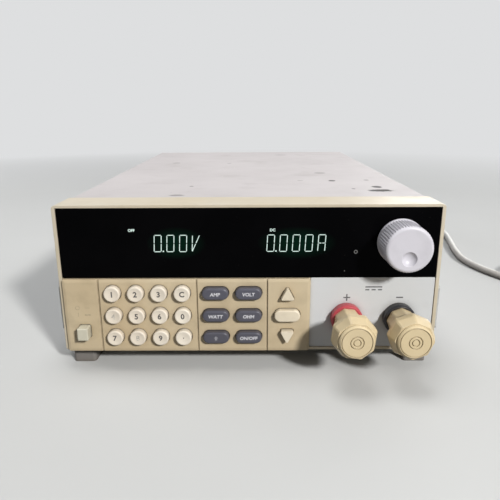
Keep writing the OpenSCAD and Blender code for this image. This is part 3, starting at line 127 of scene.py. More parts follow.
class Look:
    """A material's node tree. Each method adds nodes and returns the socket to use next."""

    def __init__(self, name, seed=0.0):
        self.material = bpy.data.materials.new(name)
        self.material.use_nodes = True
        self.tree = self.material.node_tree
        self.tree.nodes.clear()
        self.seed = seed
        self.place = self.add("ShaderNodeTexCoord").outputs["Object"]

    def add(self, kind, inputs=None, **settings):
        node = self.tree.nodes.new(kind)
        for key, value in settings.items():
            setattr(node, key, value)
        for key, value in (inputs or {}).items():
            if isinstance(value, bpy.types.NodeSocket):
                self.tree.links.new(value, node.inputs[key])
            else:
                node.inputs[key].default_value = value
        return node

    def mapped(self, scale, shift=(0, 0, 0)):
        inputs = {"Vector": self.place, "Scale": scale, "Location": shift}
        return self.add("ShaderNodeMapping", inputs).outputs[0]

    def noise(self, size, detail=3.0, stretch=(1, 1, 1)):
        """Soft noise from 0 to 1 with features of about that size, longer along an axis by its stretch."""
        self.seed += 7.3
        at = self.mapped([1 / (size * s) for s in stretch], (self.seed, self.seed * 0.6, self.seed * 1.7))
        return self.add("ShaderNodeTexNoise", {"Vector": at, "Scale": 1.0, "Detail": detail}).outputs[0]

    def specks(self, spacing, size):
        """Round specks in a random lattice, 1 in a speck and 0 outside."""
        self.seed += 3.1
        at = self.mapped([1 / spacing] * 3, (self.seed, self.seed, self.seed))
        far = self.add("ShaderNodeTexVoronoi", {"Vector": at, "Scale": 1.0}).outputs["Distance"]
        return self.span(far, size / spacing, 0.5 * size / spacing)

    def span(self, value, low, high, to_low=0.0, to_high=1.0):
        """Stretches low to high over to_low to to_high, and holds it beyond them."""
        inputs = {"Value": value, "From Min": low, "From Max": high, "To Min": to_low, "To Max": to_high}
        return self.add("ShaderNodeMapRange", inputs, clamp=True).outputs[0]

    def math(self, operation, a, b=0.0):
        return self.add("ShaderNodeMath", {0: a, 1: b}, operation=operation).outputs[0]

    def times(self, a, b):
        return self.math("MULTIPLY", a, b)

    def mix(self, share, a, b):
        mixed = self.add("ShaderNodeMix", {0: share, 6: a, 7: b}, data_type="RGBA")
        return mixed.outputs[2]

    def openness(self, reach):
        """1 on open surfaces, less where others stand close by."""
        return self.add("ShaderNodeAmbientOcclusion", {"Distance": reach}, samples=6).outputs["AO"]

    def soft_edges(self, radius):
        """A normal that rounds the edges off, and how much of an edge there is."""
        rounded = self.add("ShaderNodeBevel", {"Radius": radius}, samples=6).outputs[0]
        sharp = self.add("ShaderNodeNewGeometry").outputs["Normal"]
        along = self.add("ShaderNodeVectorMath", {0: rounded, 1: sharp}, operation="DOT_PRODUCT")
        return rounded, self.math("SUBTRACT", 1.0, along.outputs["Value"])

    def bump(self, height, depth, normal=None):
        inputs = {"Height": height, "Distance": depth, "Strength": 1.0}
        if normal is not None:
            inputs["Normal"] = normal
        return self.add("ShaderNodeBump", inputs).outputs[0]

    def spot(self, centre, size):
        """1 at a place, fading to 0 at that distance along X, Y and Z; a size of 0 ignores the axis."""
        scale = [1 / s if s else 0 for s in size]
        at = self.mapped(scale, [-c * s for c, s in zip(centre, scale)])
        far = self.add("ShaderNodeVectorMath", {0: at}, operation="LENGTH").outputs["Value"]
        return self.span(far, 1.0, 0.25)

    def inside(self, low, high):
        """1 within a box, 0 outside."""
        scale = [2 / (h - l) for l, h in zip(low, high)]
        at = self.mapped(scale, [-(l + h) / 2 * s for l, h, s in zip(low, high, scale)])
        far = self.add("ShaderNodeVectorMath", {0: at}, operation="ABSOLUTE").outputs[0]
        x, y, z = self.add("ShaderNodeSeparateXYZ", {0: far}).outputs
        farthest = self.math("MAXIMUM", x, self.math("MAXIMUM", y, z))
        return self.math("LESS_THAN", farthest, 1.0)

    def surface(self, **inputs):
        """Closes the tree with a Principled shader. Names are its sockets, with _ for a space."""
        shader = self.add("ShaderNodeBsdfPrincipled", {k.replace("_", " "): v for k, v in inputs.items()})
        self.add("ShaderNodeOutputMaterial", {"Surface": shader.outputs[0]})
        return self.material


# Colours of grime, soot and dust; each is also the colour of painted shade where surfaces stand close
# together
GRIME_AND_SHADE = srgb(96, 82, 62)
SOOT_AND_SHADE = srgb(48, 44, 42)
DUST_AND_SHADE = srgb(136, 134, 137)


def lighter(color):
    return tuple(min(1.0, c * 1.3 + 0.02) for c in color[:3]) + (1.0,)


def moulded(
    name, color, aged, seed, grime_and_shade=0.5, rough=0.42, grain=0.5, wear=0.3, corner=0.35 * MM, dirt_and_shade=GRIME_AND_SHADE,
):
    """Moulded plastic: aged in patches, smudged, with painted shade and grime in its corners, rubbed along
    its edges and finely grained.
    """
    look = Look(name, seed)
    patches = look.span(look.noise(70 * MM, 4), 0.36, 0.66)
    tone = look.mix(patches, color, aged)
    smudges = look.span(look.noise(12 * MM, 7), 0.5, 0.8, 0.0, 0.4 * grime_and_shade)
    tone = look.mix(smudges, tone, dirt_and_shade)
    # Painted shade, made patchy with grime: the colour darkens where other surfaces stand close, in corners,
    # recesses and between parts
    open_air = look.openness(4 * MM)
    uneven = look.span(look.noise(6 * MM, 5), 0.25, 0.7, 0.5 * grime_and_shade, grime_and_shade)
    tone = look.mix(look.times(look.span(open_air, 0.9, 0.3), uneven), tone, dirt_and_shade)
    rounded, edge = look.soft_edges(corner)
    rubbed = look.times(look.span(edge, 0.02, 0.25), look.span(look.noise(5 * MM, 4), 0.4, 0.62, 0.0, wear))
    tone = look.mix(look.times(rubbed, open_air), tone, lighter(color))
    pits = look.noise(0.45 * MM, 2)
    normal = look.bump(pits, grain * 0.03 * MM, rounded)
    gloss = look.span(look.noise(18 * MM, 6), 0.3, 0.7, rough - 0.08, rough + 0.1)
    return look.surface(Base_Color=tone, Roughness=gloss, Normal=normal, Specular_IOR_Level=0.4)


def painted(name, color, aged, scuffs=(), seed=0.0, rough=0.58, grime_and_shade=0.35):
    """Stove-enamelled sheet steel: orange peel, fine scratches, stains, and dark scuffs at given places."""
    look = Look(name, seed)
    tone = look.mix(look.span(look.noise(90 * MM, 5), 0.34, 0.68), color, aged)
    stains = look.span(look.noise(26 * MM, 8), 0.55, 0.78, 0.0, 0.5 * grime_and_shade)
    tone = look.mix(stains, tone, GRIME_AND_SHADE)
    along = look.span(look.noise(1.1 * MM, 4, (1, 34, 1)), 0.7, 0.78, 0.0, 0.3)
    across = look.span(look.noise(1.3 * MM, 4, (26, 1, 1)), 0.71, 0.79, 0.0, 0.22)
    tone = look.mix(look.math("MAXIMUM", along, across), tone, srgb(232, 229, 226))
    spotted = look.span(look.noise(30 * MM), 0.5, 0.6, 0.0, 0.6)
    tone = look.mix(look.times(look.specks(7 * MM, 0.5 * MM), spotted), tone, SOOT_AND_SHADE)
    ragged = look.noise(3.2 * MM, 6)
    for x, y, wide, long, depth in scuffs:
        mark = look.spot((x * MM, y * MM, 0), (wide * MM, long * MM, 0))
        torn = look.span(look.math("ADD", mark, ragged), 0.72, 1.05, 0.0, depth)
        tone = look.mix(look.times(torn, look.span(mark, 0.0, 0.1)), tone, SOOT_AND_SHADE)
    # Painted shade: the colour darkens where other surfaces stand close, in corners and at steps
    open_air = look.openness(5 * MM)
    tone = look.mix(look.span(open_air, 0.85, 0.3, 0.0, grime_and_shade), tone, GRIME_AND_SHADE)
    rounded, edge = look.soft_edges(0.5 * MM)
    chips = look.times(look.span(edge, 0.05, 0.3), look.span(look.noise(4 * MM, 5), 0.56, 0.64, 0.0, 0.8))
    tone = look.mix(chips, tone, srgb(120, 114, 110))
    peel = look.noise(1.6 * MM, 3)
    normal = look.bump(peel, 0.035 * MM, rounded)
    gloss = look.span(look.noise(22 * MM, 5), 0.3, 0.7, rough - 0.08, rough + 0.12)
    return look.surface(Base_Color=tone, Roughness=gloss, Normal=normal, Specular_IOR_Level=0.2)


def metal(name, color, dull, rough=0.3, brushed=(1, 24, 1), seed=0.0):
    """Bare metal with brush marks along one axis, dull spots and painted shade in its corners."""
    look = Look(name, seed)
    tone = look.mix(look.span(look.noise(9 * MM, 6), 0.4, 0.7), color, dull)
    # Painted shade: darker where other surfaces stand close
    tone = look.mix(look.span(look.openness(3 * MM), 0.8, 0.2, 0.0, 0.7), tone, SOOT_AND_SHADE)
    lines = look.noise(0.35 * MM, 4, brushed)
    normal = look.bump(lines, 0.012 * MM, look.soft_edges(0.2 * MM)[0])
    gloss = look.span(lines, 0.3, 0.7, rough - 0.08, rough + 0.12)
    return look.surface(Base_Color=tone, Roughness=gloss, Normal=normal, Metallic=1.0)


def galvanised(name):
    """Zinc-plated sheet with its crystal pattern."""
    look = Look(name)
    at = look.mapped([1 / (9 * MM)] * 3)
    crystals = look.add("ShaderNodeTexVoronoi", {"Vector": at, "Scale": 1.0}).outputs["Color"]
    grey = look.add("ShaderNodeSeparateXYZ", {0: crystals}).outputs[0]
    tone = look.mix(grey, srgb(176, 180, 184), srgb(206, 209, 211))
    # Painted shade: darker where other surfaces stand close
    tone = look.mix(look.span(look.openness(5 * MM), 0.8, 0.2, 0.0, 0.6), tone, SOOT_AND_SHADE)
    gloss = look.span(grey, 0.0, 1.0, 0.32, 0.5)
    normal = look.bump(look.noise(1.5 * MM, 3), 0.01 * MM, look.soft_edges(0.3 * MM)[0])
    return look.surface(Base_Color=tone, Roughness=gloss, Normal=normal, Metallic=0.9)


def circuit_board(name):
    """Green solder mask over tracks, with rows of solder pads."""
    look = Look(name, 2.0)
    at = look.mapped([1 / (3.2 * MM)] * 3)
    cells = look.add("ShaderNodeTexVoronoi", {"Vector": at, "Scale": 1.0}, distance="CHEBYCHEV")
    tracks = look.span(cells.outputs["Distance"], 0.34, 0.38)
    tone = look.mix(tracks, srgb(24, 92, 52), srgb(40, 116, 66))
    pads = look.specks(2.5 * MM, 0.7 * MM)
    tone = look.mix(pads, tone, srgb(190, 192, 194))
    tone = look.mix(look.span(look.noise(40 * MM, 5), 0.45, 0.8, 0.0, 0.5), tone, GRIME_AND_SHADE)
    normal = look.bump(tracks, 0.03 * MM)
    gloss = look.span(pads, 0.0, 1.0, 0.4, 0.25)
    return look.surface(Base_Color=tone, Roughness=gloss, Normal=normal, Metallic=pads)


# Readings of the display, as boxes (left, right, low, high) on the window; they light the window round them
READINGS = [(-52.6 * MM, -27.3 * MM, 70.0 * MM, 79.9 * MM), (10.0 * MM, 43.8 * MM, 70.0 * MM, 79.9 * MM)]


def dark_window(name):
    """Smoked acrylic: almost black, with dust, wiping marks and a faint glow round the readings."""
    look = Look(name, 4.0)
    dust = look.times(look.specks(3.4 * MM, 0.22 * MM), look.span(look.noise(24 * MM, 4), 0.42, 0.7))
    film = look.span(look.noise(40 * MM, 7), 0.45, 0.9, 0.0, 0.3)
    tone = look.mix(film, srgb(3, 3, 4), srgb(17, 16, 18))
    tone = look.mix(look.times(dust, 0.3), tone, srgb(92, 90, 88))
    wiped = look.noise(2.2 * MM, 5, (18, 1, 1))
    gloss = look.span(wiped, 0.35, 0.75, 0.1, 0.24)
    rounded = look.soft_edges(0.25 * MM)[0]
    glow = None
    for left, right, low, high in READINGS:
        centre = ((left + right) / 2, 0, (low + high) / 2)
        lit = look.spot(centre, ((right - left) * 0.66, 0, (high - low) * 0.95))
        glow = lit if glow is None else look.math("ADD", glow, lit)
    return look.surface(
        Base_Color=tone, Roughness=gloss, Normal=rounded, Specular_IOR_Level=0.02,
        Emission_Color=srgb(20, 255, 180), Emission_Strength=look.times(glow, 0.011),
    )


def glowing(name, color, strength):
    """Phosphor of the display, a little uneven along its strokes."""
    look = Look(name, 6.0)
    flicker = look.span(look.noise(1.4 * MM, 3), 0.3, 0.7, 0.8 * strength, strength)
    return look.surface(
        Base_Color=srgb(20, 26, 24), Roughness=0.5, Emission_Color=color, Emission_Strength=flicker,
    )


def ink(name, color, under, worn, seed=0.0):
    """Printed ink that has been rubbed off in places, down to the colour under it."""
    look = Look(name, seed)
    thin = look.span(look.noise(0.9 * MM, 4), 0.38, 0.62, worn * 0.6, worn)
    tone = look.mix(thin, color, under)
    return look.surface(Base_Color=tone, Roughness=look.span(look.noise(0.5 * MM), 0.3, 0.7, 0.45, 0.6))


CREAM = srgb(237, 229, 214)
KEY_GREY = srgb(84, 84, 95)
BEIGE = srgb(203, 188, 159)
PLATE = srgb(212, 214, 216)
# Scuffs on the cover: middle X and Y, reach along X and Y, and how dark
SCUFFS = [
    (84, -106, 10.5, 6.0, 1.0), (85, -91, 4.6, 5.6, 0.95), (59.5, -60.7, 3.2, 5.0, 0.8),
    (68, -98, 1.6, 2.6, 0.6), (85, -58, 2.6, 4.0, 0.45), (56.6, -16, 6.0, 8.0, 0.3),
    (-44, -121, 6.0, 4.0, 0.5), (-39, -85, 2.0, 3.4, 0.5), (36.7, -59, 3.0, 3.0, 0.3),
    (-71, 65, 5.0, 7.0, 0.3), (33, 144, 9.0, 5.0, 0.3), (-20, 60, 3.0, 4.0, 0.3),
]

frame_plastic = moulded("frame_plastic", srgb(204, 194, 174), srgb(197, 185, 160), 1.0, grime_and_shade=0.35)
keypad_plastic = moulded(
    "keypad_plastic", BEIGE, srgb(194, 175, 142), 2.0, grime_and_shade=0.6, wear=0.9, corner=0.5 * MM,
)
# Its grime setting also sets how much painted shade darkens the plate round the collars and at the keypad's
# step
plate_paint = painted("plate_paint", PLATE, srgb(203, 205, 206), seed=3.0, rough=0.42, grime_and_shade=0.5)
number_plastic = moulded("number_plastic", CREAM, srgb(229, 218, 201), 4.0, grime_and_shade=0.45, wear=0.2, rough=0.38)
function_plastic = moulded(
    "function_plastic", KEY_GREY, srgb(74, 74, 83), 5.0, grime_and_shade=0.3, wear=0.35, rough=0.36,
)
arrow_plastic = moulded("arrow_plastic", srgb(233, 223, 203), srgb(224, 212, 188), 6.0, rough=0.38)
button_plastic = moulded("button_plastic", srgb(206, 202, 184), srgb(198, 192, 170), 7.0, rough=0.4)
knob_plastic = moulded(
    "knob_plastic", srgb(216, 214, 222), srgb(209, 207, 214), 8.0, grime_and_shade=0.5, wear=0.1, rough=0.34, dirt_and_shade=DUST_AND_SHADE,
)
nut_plastic = moulded(
    "nut_plastic", srgb(222, 205, 170), srgb(212, 193, 154), 9.0, grime_and_shade=0.4, wear=0.5, rough=0.34,
)
red_plastic = moulded(
    "red_plastic", srgb(186, 76, 84), srgb(168, 62, 70), 10.0, grime_and_shade=0.3, rough=0.3, dirt_and_shade=SOOT_AND_SHADE,
)
black_plastic = moulded("black_plastic", srgb(38, 38, 44), srgb(30, 30, 34), 11.0, grime_and_shade=0.3, rough=0.34)
matt_black = moulded("matt_black", srgb(28, 28, 30), srgb(36, 35, 34), 12.0, rough=0.5, grain=0.8)
pad_plastic = moulded("pad_plastic", srgb(188, 190, 190), srgb(176, 174, 168), 13.0, grime_and_shade=0.45)
foot_rubber = moulded(
    "foot_rubber", srgb(126, 122, 118), srgb(108, 104, 100), 14.0, grime_and_shade=0.6, rough=0.75, grain=1.4,
)
terminal_green = moulded("terminal_green", srgb(40, 104, 58), srgb(34, 90, 50), 15.0, grime_and_shade=0.3)
lead_plastic = moulded(
    "lead_plastic", srgb(206, 205, 202), srgb(194, 190, 184), 16.0, grime_and_shade=0.35, rough=0.46, grain=0.9,
)
cover_paint = painted("cover_paint", srgb(200, 195, 195), srgb(191, 186, 186), SCUFFS, seed=17.0)
rear_paint = painted("rear_paint", srgb(204, 199, 195), srgb(194, 188, 184), seed=18.0)
screw_steel = metal("screw_steel", srgb(190, 190, 188), srgb(150, 148, 144), 0.28, seed=19.0)
bare_steel = metal("bare_steel", srgb(196, 197, 198), srgb(166, 166, 165), 0.3, seed=20.0)
brass = metal("brass", srgb(214, 178, 104), srgb(170, 138, 78), 0.28, (1, 1, 1), seed=21.0)
copper = metal("copper", srgb(196, 126, 84), srgb(150, 92, 60), 0.32, seed=22.0)
aluminium = metal("aluminium", srgb(192, 194, 197), srgb(170, 172, 175), 0.36, (1, 40, 1), seed=23.0)
core_steel = metal("core_steel", srgb(120, 114, 106), srgb(92, 84, 76), 0.45, (1, 1, 30), seed=24.0)
zinc = galvanised("zinc")
board_green = circuit_board("board_green")
window_black = dark_window("window_black")
phosphor = glowing("phosphor", srgb(230, 253, 244), 1.0)
number_ink = ink("number_ink", srgb(26, 26, 36), CREAM, 0.12, seed=25.0)
faded_ink = ink("faded_ink", srgb(60, 58, 62), CREAM, 0.8, seed=26.0)
white_ink = ink("white_ink", srgb(228, 228, 232), KEY_GREY, 0.2, seed=27.0)
faded_white = ink("faded_white", srgb(190, 190, 194), KEY_GREY, 0.75, seed=28.0)
plate_ink = ink("plate_ink", srgb(40, 40, 46), PLATE, 0.15, seed=29.0)
panel_ink = ink("panel_ink", srgb(138, 120, 94), BEIGE, 0.7, seed=30.0)

# Y where the plug's body ends and its blades begin
PLUG_END = 70 * MM
# Low and high corner of the black insert in the serial port's mouth
INSERT_LOW = (11.4 * MM, 187.3 * MM, 34.2 * MM)
INSERT_HIGH = (27.0 * MM, 188 * MM, 40.4 * MM)


def plug_look():
    """The lead's plastic, with metal blades beyond the end of the body."""
    look = Look("plug_plastic", 31.0)
    y = look.add("ShaderNodeSeparateXYZ", {0: look.place}).outputs[1]
    blade = look.span(y, PLUG_END, PLUG_END + 0.05 * MM)
    tone = look.mix(look.span(look.noise(14 * MM, 6), 0.4, 0.7), srgb(206, 205, 202), srgb(194, 190, 184))
    # Painted shade: darker where other surfaces stand close
    tone = look.mix(look.span(look.openness(4 * MM), 0.8, 0.3, 0.0, 0.3), tone, GRIME_AND_SHADE)
    tone = look.mix(blade, tone, srgb(206, 190, 150))
    normal = look.bump(look.noise(0.5 * MM, 2), 0.02 * MM, look.soft_edges(0.5 * MM)[0])
    gloss = look.span(blade, 0.0, 1.0, 0.46, 0.28)
    return look.surface(Base_Color=tone, Metallic=blade, Roughness=gloss, Normal=normal)


def port_look():
    """Plated shell with a black insert round the contacts."""
    look = Look("port_steel", 32.0)
    insert = look.inside(INSERT_LOW, INSERT_HIGH)
    tone = look.mix(look.span(look.noise(6 * MM, 5), 0.4, 0.7), srgb(190, 190, 188), srgb(160, 158, 154))
    tone = look.mix(insert, tone, srgb(26, 26, 28))
    shine = look.span(insert, 0.0, 1.0, 1.0, 0.0)
    normal = look.bump(look.noise(0.4 * MM, 2), 0.008 * MM, look.soft_edges(0.25 * MM)[0])
    gloss = look.span(insert, 0.0, 1.0, 0.3, 0.5)
    return look.surface(Base_Color=tone, Metallic=shine, Roughness=gloss, Normal=normal)


NUMBER_KEYS = [
    "key_1", "key_2", "key_3", "key_clear", "key_4", "key_5", "key_6", "key_0",
    "key_7", "key_8", "key_9", "key_point",
]
FUNCTION_KEYS = ["amps_key", "volts_key", "watts_key", "ohms_key", "shift_key", "on_off_key"]
DRESS = [
    (frame_plastic, ["front_frame"]),
    (keypad_plastic, ["key_panel"]),
    (plate_paint, ["input_plate"]),
    (window_black, ["display_window"]),
    (number_plastic, NUMBER_KEYS),
    (function_plastic, FUNCTION_KEYS),
    (arrow_plastic, ["up_key", "down_key", "enter_key"]),
    (button_plastic, ["power_button"]),
    (knob_plastic, ["encoder_knob"]),
    (nut_plastic, ["positive_nut", "negative_nut"]),
    (red_plastic, ["red_collar"]),
    (black_plastic, ["black_collar", "key_switches", "power_switch", "board_components"]),
    (matt_black, ["display_module", "fan_frame", "fan_rotor", "mains_inlet"]),
    (pad_plastic, ["side_pads"]),
    (foot_rubber, ["feet"]),
    (terminal_green, ["sense_terminals"]),
    (lead_plastic, ["cord_connector", "power_cord", "cord_coil"]),
    (plug_look(), ["cord_plug"]),
    (cover_paint, ["top_cover"]),
    (rear_paint, ["rear_panel"]),
    (screw_steel, ["fasteners"]),
    (bare_steel, ["encoder_body", "encoder_shaft"]),
    (port_look(), ["serial_port"]),
    (brass, ["terminal_studs", "positive_washer", "negative_washer"]),
    (copper, ["busbars"]),
    (aluminium, ["heatsink"]),
    (core_steel, ["transformer"]),
    (zinc, ["chassis"]),
    (board_green, ["key_board", "main_board"]),
]
for material, dressed in DRESS:
    for name in dressed:
        nodes[name].data.materials.clear()
        nodes[name].data.materials.append(material)


# Mains lead: out of its connector, down to the bench, round to the side and into a coil that ends in the plug

CORD_D = 6 * MM
ROUTE = [
    (70, 244, 51), (70, 256, 51), (71, 270, 49), (74, 284, 45), (80, 297, 39), (89, 309, 32), (101, 318, 24),
    (114, 325, 16), (128, 328, 9), (143, 328, 5), (158, 325, 3), (173, 319, 3), (187, 310, 3), (199, 299, 3),
    (209, 286, 3), (217, 271, 3), (223, 255, 3), (227, 237, 3), (229, 218, 3), (230, 198, 3), (230, 178, 3),
    (228, 158, 3), (225, 138, 3), (221, 120, 3), (217, 103, 3), (213, 86, 3), (210, 69, 3), (208, 52, 3),
    (209, 37, 3), (212, 22, 3), (217, 7, 3), (223, -7, 3), (231, -20, 3), (240, -33, 3),
]
COIL = Vector((273, -12, 0)) * MM
COIL_START = math.radians(212.5)
COIL_TURNS = 5.41
POINTS_PER_TURN = 18
OUTER_RING = 39 * MM
PLUG_ENTRY = [Vector((312, -5, 9)) * MM, Vector((312, 5, 9)) * MM]


def eased(value, start, end):
    """0 before start, 1 after end, and smooth between them."""
    share = max(0.0, min(1.0, (value - start) / (end - start)))
    return share * share * (3 - 2 * share)


def coil_point(turn):
    """Three rings inwards on the bench, a climb onto them, and three rings outwards again."""
    steps_in = eased(turn, 0.72, 0.98) + eased(turn, 1.72, 1.98)
    steps_out = eased(turn, 3.35, 3.62) + eased(turn, 4.35, 4.62)
    radius = OUTER_RING + (steps_out - steps_in) * CORD_D
    height = CORD_D / 2 + CORD_D * eased(turn, 2.55, 2.80)
    angle = COIL_START + 2 * math.pi * turn
    return COIL + Vector((radius * math.cos(angle), radius * math.sin(angle), height))


def make_lead():
    count = round(COIL_TURNS * POINTS_PER_TURN)
    points = [Vector(p) * MM for p in ROUTE]
    points += [coil_point(COIL_TURNS * (i + 1) / count) for i in range(count)]
    points += PLUG_ENTRY
    curve = bpy.data.curves.new("mains_lead", "CURVE")
    curve.dimensions = "3D"
    curve.bevel_depth = CORD_D / 2
    curve.bevel_resolution = 6
    curve.resolution_u = 5
    curve.use_fill_caps = True
    spline = curve.splines.new("BEZIER")
    spline.bezier_points.add(len(points) - 1)
    for knot, place in zip(spline.bezier_points, points):
        knot.co = place
        knot.handle_left_type = knot.handle_right_type = "AUTO"
    spline.use_smooth = True
    return add_piece("mains_lead", curve, lead_plastic, "case")


def make_tie():
    """Flat strap round the coil."""
    angle = math.radians(80)
    outwards = Vector((math.cos(angle), math.sin(angle), 0))
    along = Vector((-math.sin(angle), math.cos(angle), 0))
    middle = 33 * MM
    half_span = 9.3 * MM
    half_height = 6.15 * MM
    half_width = 4 * MM
    thick = 0.7 * MM
    corner = 3.2 * MM
    lowest = 0.05 * MM
    steps = 8
    loop = []
    for quarter in range(4):
        sx = 1 if quarter in (0, 3) else -1
        sz = 1 if quarter in (0, 1) else -1
        for i in range(steps + 1):
            turn = math.pi / 2 * (quarter + i / steps)
            centre = (sx * (half_span - corner), sz * (half_height - corner))
            loop.append((centre, (math.cos(turn), math.sin(turn))))
    mesh = bmesh.new()
    sections = []
    for (cx, cz), (nx, nz) in loop:
        section = []
        for reach, side in ((corner, -1), (corner + thick, -1), (corner + thick, 1), (corner, 1)):
            x = middle + cx + nx * reach
            z = max(lowest, half_height + cz + nz * reach)
            place = COIL + outwards * x + along * (side * half_width) + Vector((0, 0, z))
            section.append(mesh.verts.new(place))
        sections.append(section)
    for a, b in zip(sections, sections[1:] + sections[:1]):
        for i in range(4):
            mesh.faces.new((a[i], a[(i + 1) % 4], b[(i + 1) % 4], b[i]))
    bmesh.ops.recalc_face_normals(mesh, faces=mesh.faces)
    data = bpy.data.meshes.new("lead_tie")
    mesh.to_mesh(data)
    mesh.free()
    return add_piece("lead_tie", data, matt_black, "case")


lead = make_lead()
tie = make_tie()
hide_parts("power_cord", "cord_coil")


# Flat marks: prints and lit segments, as thin solids on a surface that faces the front

INK_OUT = 0.03 * MM
INK_IN = 0.05 * MM


def raised(name, outlines, face):
    """Thin solids with these outlines of (x, z), from just inside to just in front of the face at that Y."""
    mesh = bmesh.new()
    for outline in outlines:
        front = [mesh.verts.new((x, face - INK_OUT, z)) for x, z in outline]
        back = [mesh.verts.new((x, face + INK_IN, z)) for x, z in outline]
        mesh.faces.new(front)
        mesh.faces.new(back[::-1])
        for i in range(len(outline)):
            j = (i + 1) % len(outline)
            mesh.faces.new((front[j], front[i], back[i], back[j]))
    bmesh.ops.recalc_face_normals(mesh, faces=mesh.faces)
    data = bpy.data.meshes.new(name)
    mesh.to_mesh(data)
    mesh.free()
    return data


def bar(x, z, wide, high):
    """Outline of an upright rectangle round a middle."""
    left, right = x - wide / 2, x + wide / 2
    low, high = z - high / 2, z + high / 2
    return [(left, low), (right, low), (right, high), (left, high)]


def ring(x, z, radius, stroke, steps=32):
    """A ring as a chain of four-cornered outlines."""
    pieces = []
    for i in range(steps):
        a, b = (2 * math.pi * k / steps for k in (i, i + 1))
        corners = [(radius, a), (radius + stroke, a), (radius + stroke, b), (radius, b)]
        pieces.append([(x + r * math.cos(t), z + r * math.sin(t)) for r, t in corners])
    return pieces


# Strokes of the lit characters, with 0 to 1 across and up
SEGMENTS = {
    "a": ((0, 1), (1, 1)), "b": ((1, 1), (1, 0.5)), "c": ((1, 0.5), (1, 0)), "d": ((0, 0), (1, 0)),
    "e": ((0, 0.5), (0, 0)), "f": ((0, 1), (0, 0.5)), "g": ((0, 0.5), (0.5, 0.5)),
    "h": ((0.5, 0.5), (1, 0.5)), "i": ((1, 1), (0.5, 0.5)), "j": ((0.5, 0.5), (0, 0)),
}
CHARACTERS = {"0": "abcdef", "A": "abcefgh", "V": "efij"}
CHARACTER_W = 3.9 * MM
CHARACTER_H = 9.4 * MM
CHARACTER_PITCH = 7.05 * MM
STROKE = 0.42 * MM
STROKE_GAP = 0.16 * MM
SLANT = 0.05
POINT = 0.75 * MM
POINT_OUT = 1.2 * MM
POINT_UP = 0.2 * MM


def segment(start, end):
    """A stroke with pointed ends between two points."""
    start, end = Vector(start), Vector(end)
    along = (end - start).normalized()
    side = Vector((-along.y, along.x)) * STROKE / 2
    start += along * STROKE_GAP
    end -= along * STROKE_GAP
    near, far = start + along * STROKE / 2, end - along * STROKE / 2
    return [start, near - side, far - side, end, far + side, near + side]


def reading(text, left, low):
    """Outlines of a row of lit characters, slanted, with the decimal point after its character."""
    outlines = []
    x = left
    for character in text:
        if character == ".":
            point_x = x - CHARACTER_PITCH + CHARACTER_W + POINT_OUT
            outlines.append(bar(point_x, POINT_UP, POINT, POINT))
            continue
        for name in CHARACTERS[character]:
            ends = [(x + u * CHARACTER_W, v * CHARACTER_H) for u, v in SEGMENTS[name]]
            outlines.append(segment(*ends))
        x += CHARACTER_PITCH
    return [[(px + SLANT * pz, low + pz) for px, pz in outline] for outline in outlines]


digits = []
for text, (left, right, low, high) in zip(("0.00V", "0.000A"), READINGS):
    digits += reading(text, left + STROKE / 2, low + STROKE / 2)
readings = raised("display_readings", digits, WINDOW_FACE)
add_piece("display_readings", readings, phosphor, "case")


# Lettering: plain numbers and units, as thin solids that follow the surface they are printed on

BOLD = 0.03
CUTS = 4
CUT_STEP = 0.4 * MM


def number_dish(x, z):
    """Depth of a number key's dished face away from its middle."""
    return max(0.0, DISH_DEPTH - DISH_RADIUS + math.sqrt(DISH_RADIUS ** 2 - x * x - z * z))


def flat(x, z):
    """Depth of a flat face."""
    return 0.0


def lettering(name, words, height, place, material, body, depth_at=flat, lean=0.0):
    """Words of that height, centred on a place (x, y, z) of a surface that faces the front."""
    font = bpy.data.curves.new(name, "FONT")
    font.body = words
    font.extrude = 0.5
    font.offset = BOLD
    font.resolution_u = 3
    draft = add_object(name + "_draft", font)
    bpy.context.view_layer.update()
    data = bpy.data.meshes.new_from_object(draft.evaluated_get(bpy.context.evaluated_depsgraph_get()))
    bpy.data.objects.remove(draft)
    bpy.data.curves.remove(font)
    low = [min(v.co[k] for v in data.vertices) for k in (0, 1)]
    high = [max(v.co[k] for v in data.vertices) for k in (0, 1)]
    middle = Vector(((low[0] + high[0]) / 2, (low[1] + high[1]) / 2, 0))
    scale = height / (high[1] - low[1])
    mesh = bmesh.new()
    mesh.from_mesh(data)
    bmesh.ops.remove_doubles(mesh, verts=mesh.verts, dist=1e-5)
    if depth_at is not flat:
        for k in range(-CUTS, CUTS + 1):
            for axis in ((1, 0, 0), (0, 1, 0)):
                cut = middle + Vector(axis) * (k * CUT_STEP / scale)
                geometry = mesh.verts[:] + mesh.edges[:] + mesh.faces[:]
                bmesh.ops.bisect_plane(mesh, geom=geometry, plane_co=cut, plane_no=axis, dist=1e-6)
    for v in mesh.verts:
        z = (v.co.y - middle.y) * scale
        x = (v.co.x - middle.x) * scale + lean * z
        out = INK_OUT if v.co.z > 0 else -INK_IN
        v.co = Vector(place) + Vector((x, depth_at(x, z) - out, z))
    bmesh.ops.recalc_face_normals(mesh, faces=mesh.faces)
    mesh.to_mesh(data)
    mesh.free()
    return add_piece(name, data, material, body)


NUMBER_LEGENDS = ["1", "2", "3", "C", "4", "5", "6", "0", "7", "8", "9", "."]
NUMBER_FADED = ["key_4", "key_8"]
NUMBER_H = 3.3 * MM
DOT_H = 0.75 * MM
for i, (key, words) in enumerate(zip(NUMBER_KEYS, NUMBER_LEGENDS)):
    place = (NUMBER_COLUMNS[i % 4], KEY_FACE, ROWS[i // 4])
    worn = faded_ink if key in NUMBER_FADED else number_ink
    tall = DOT_H if words == "." else NUMBER_H
    lettering("legend_" + key, words, tall, place, worn, key, number_dish)

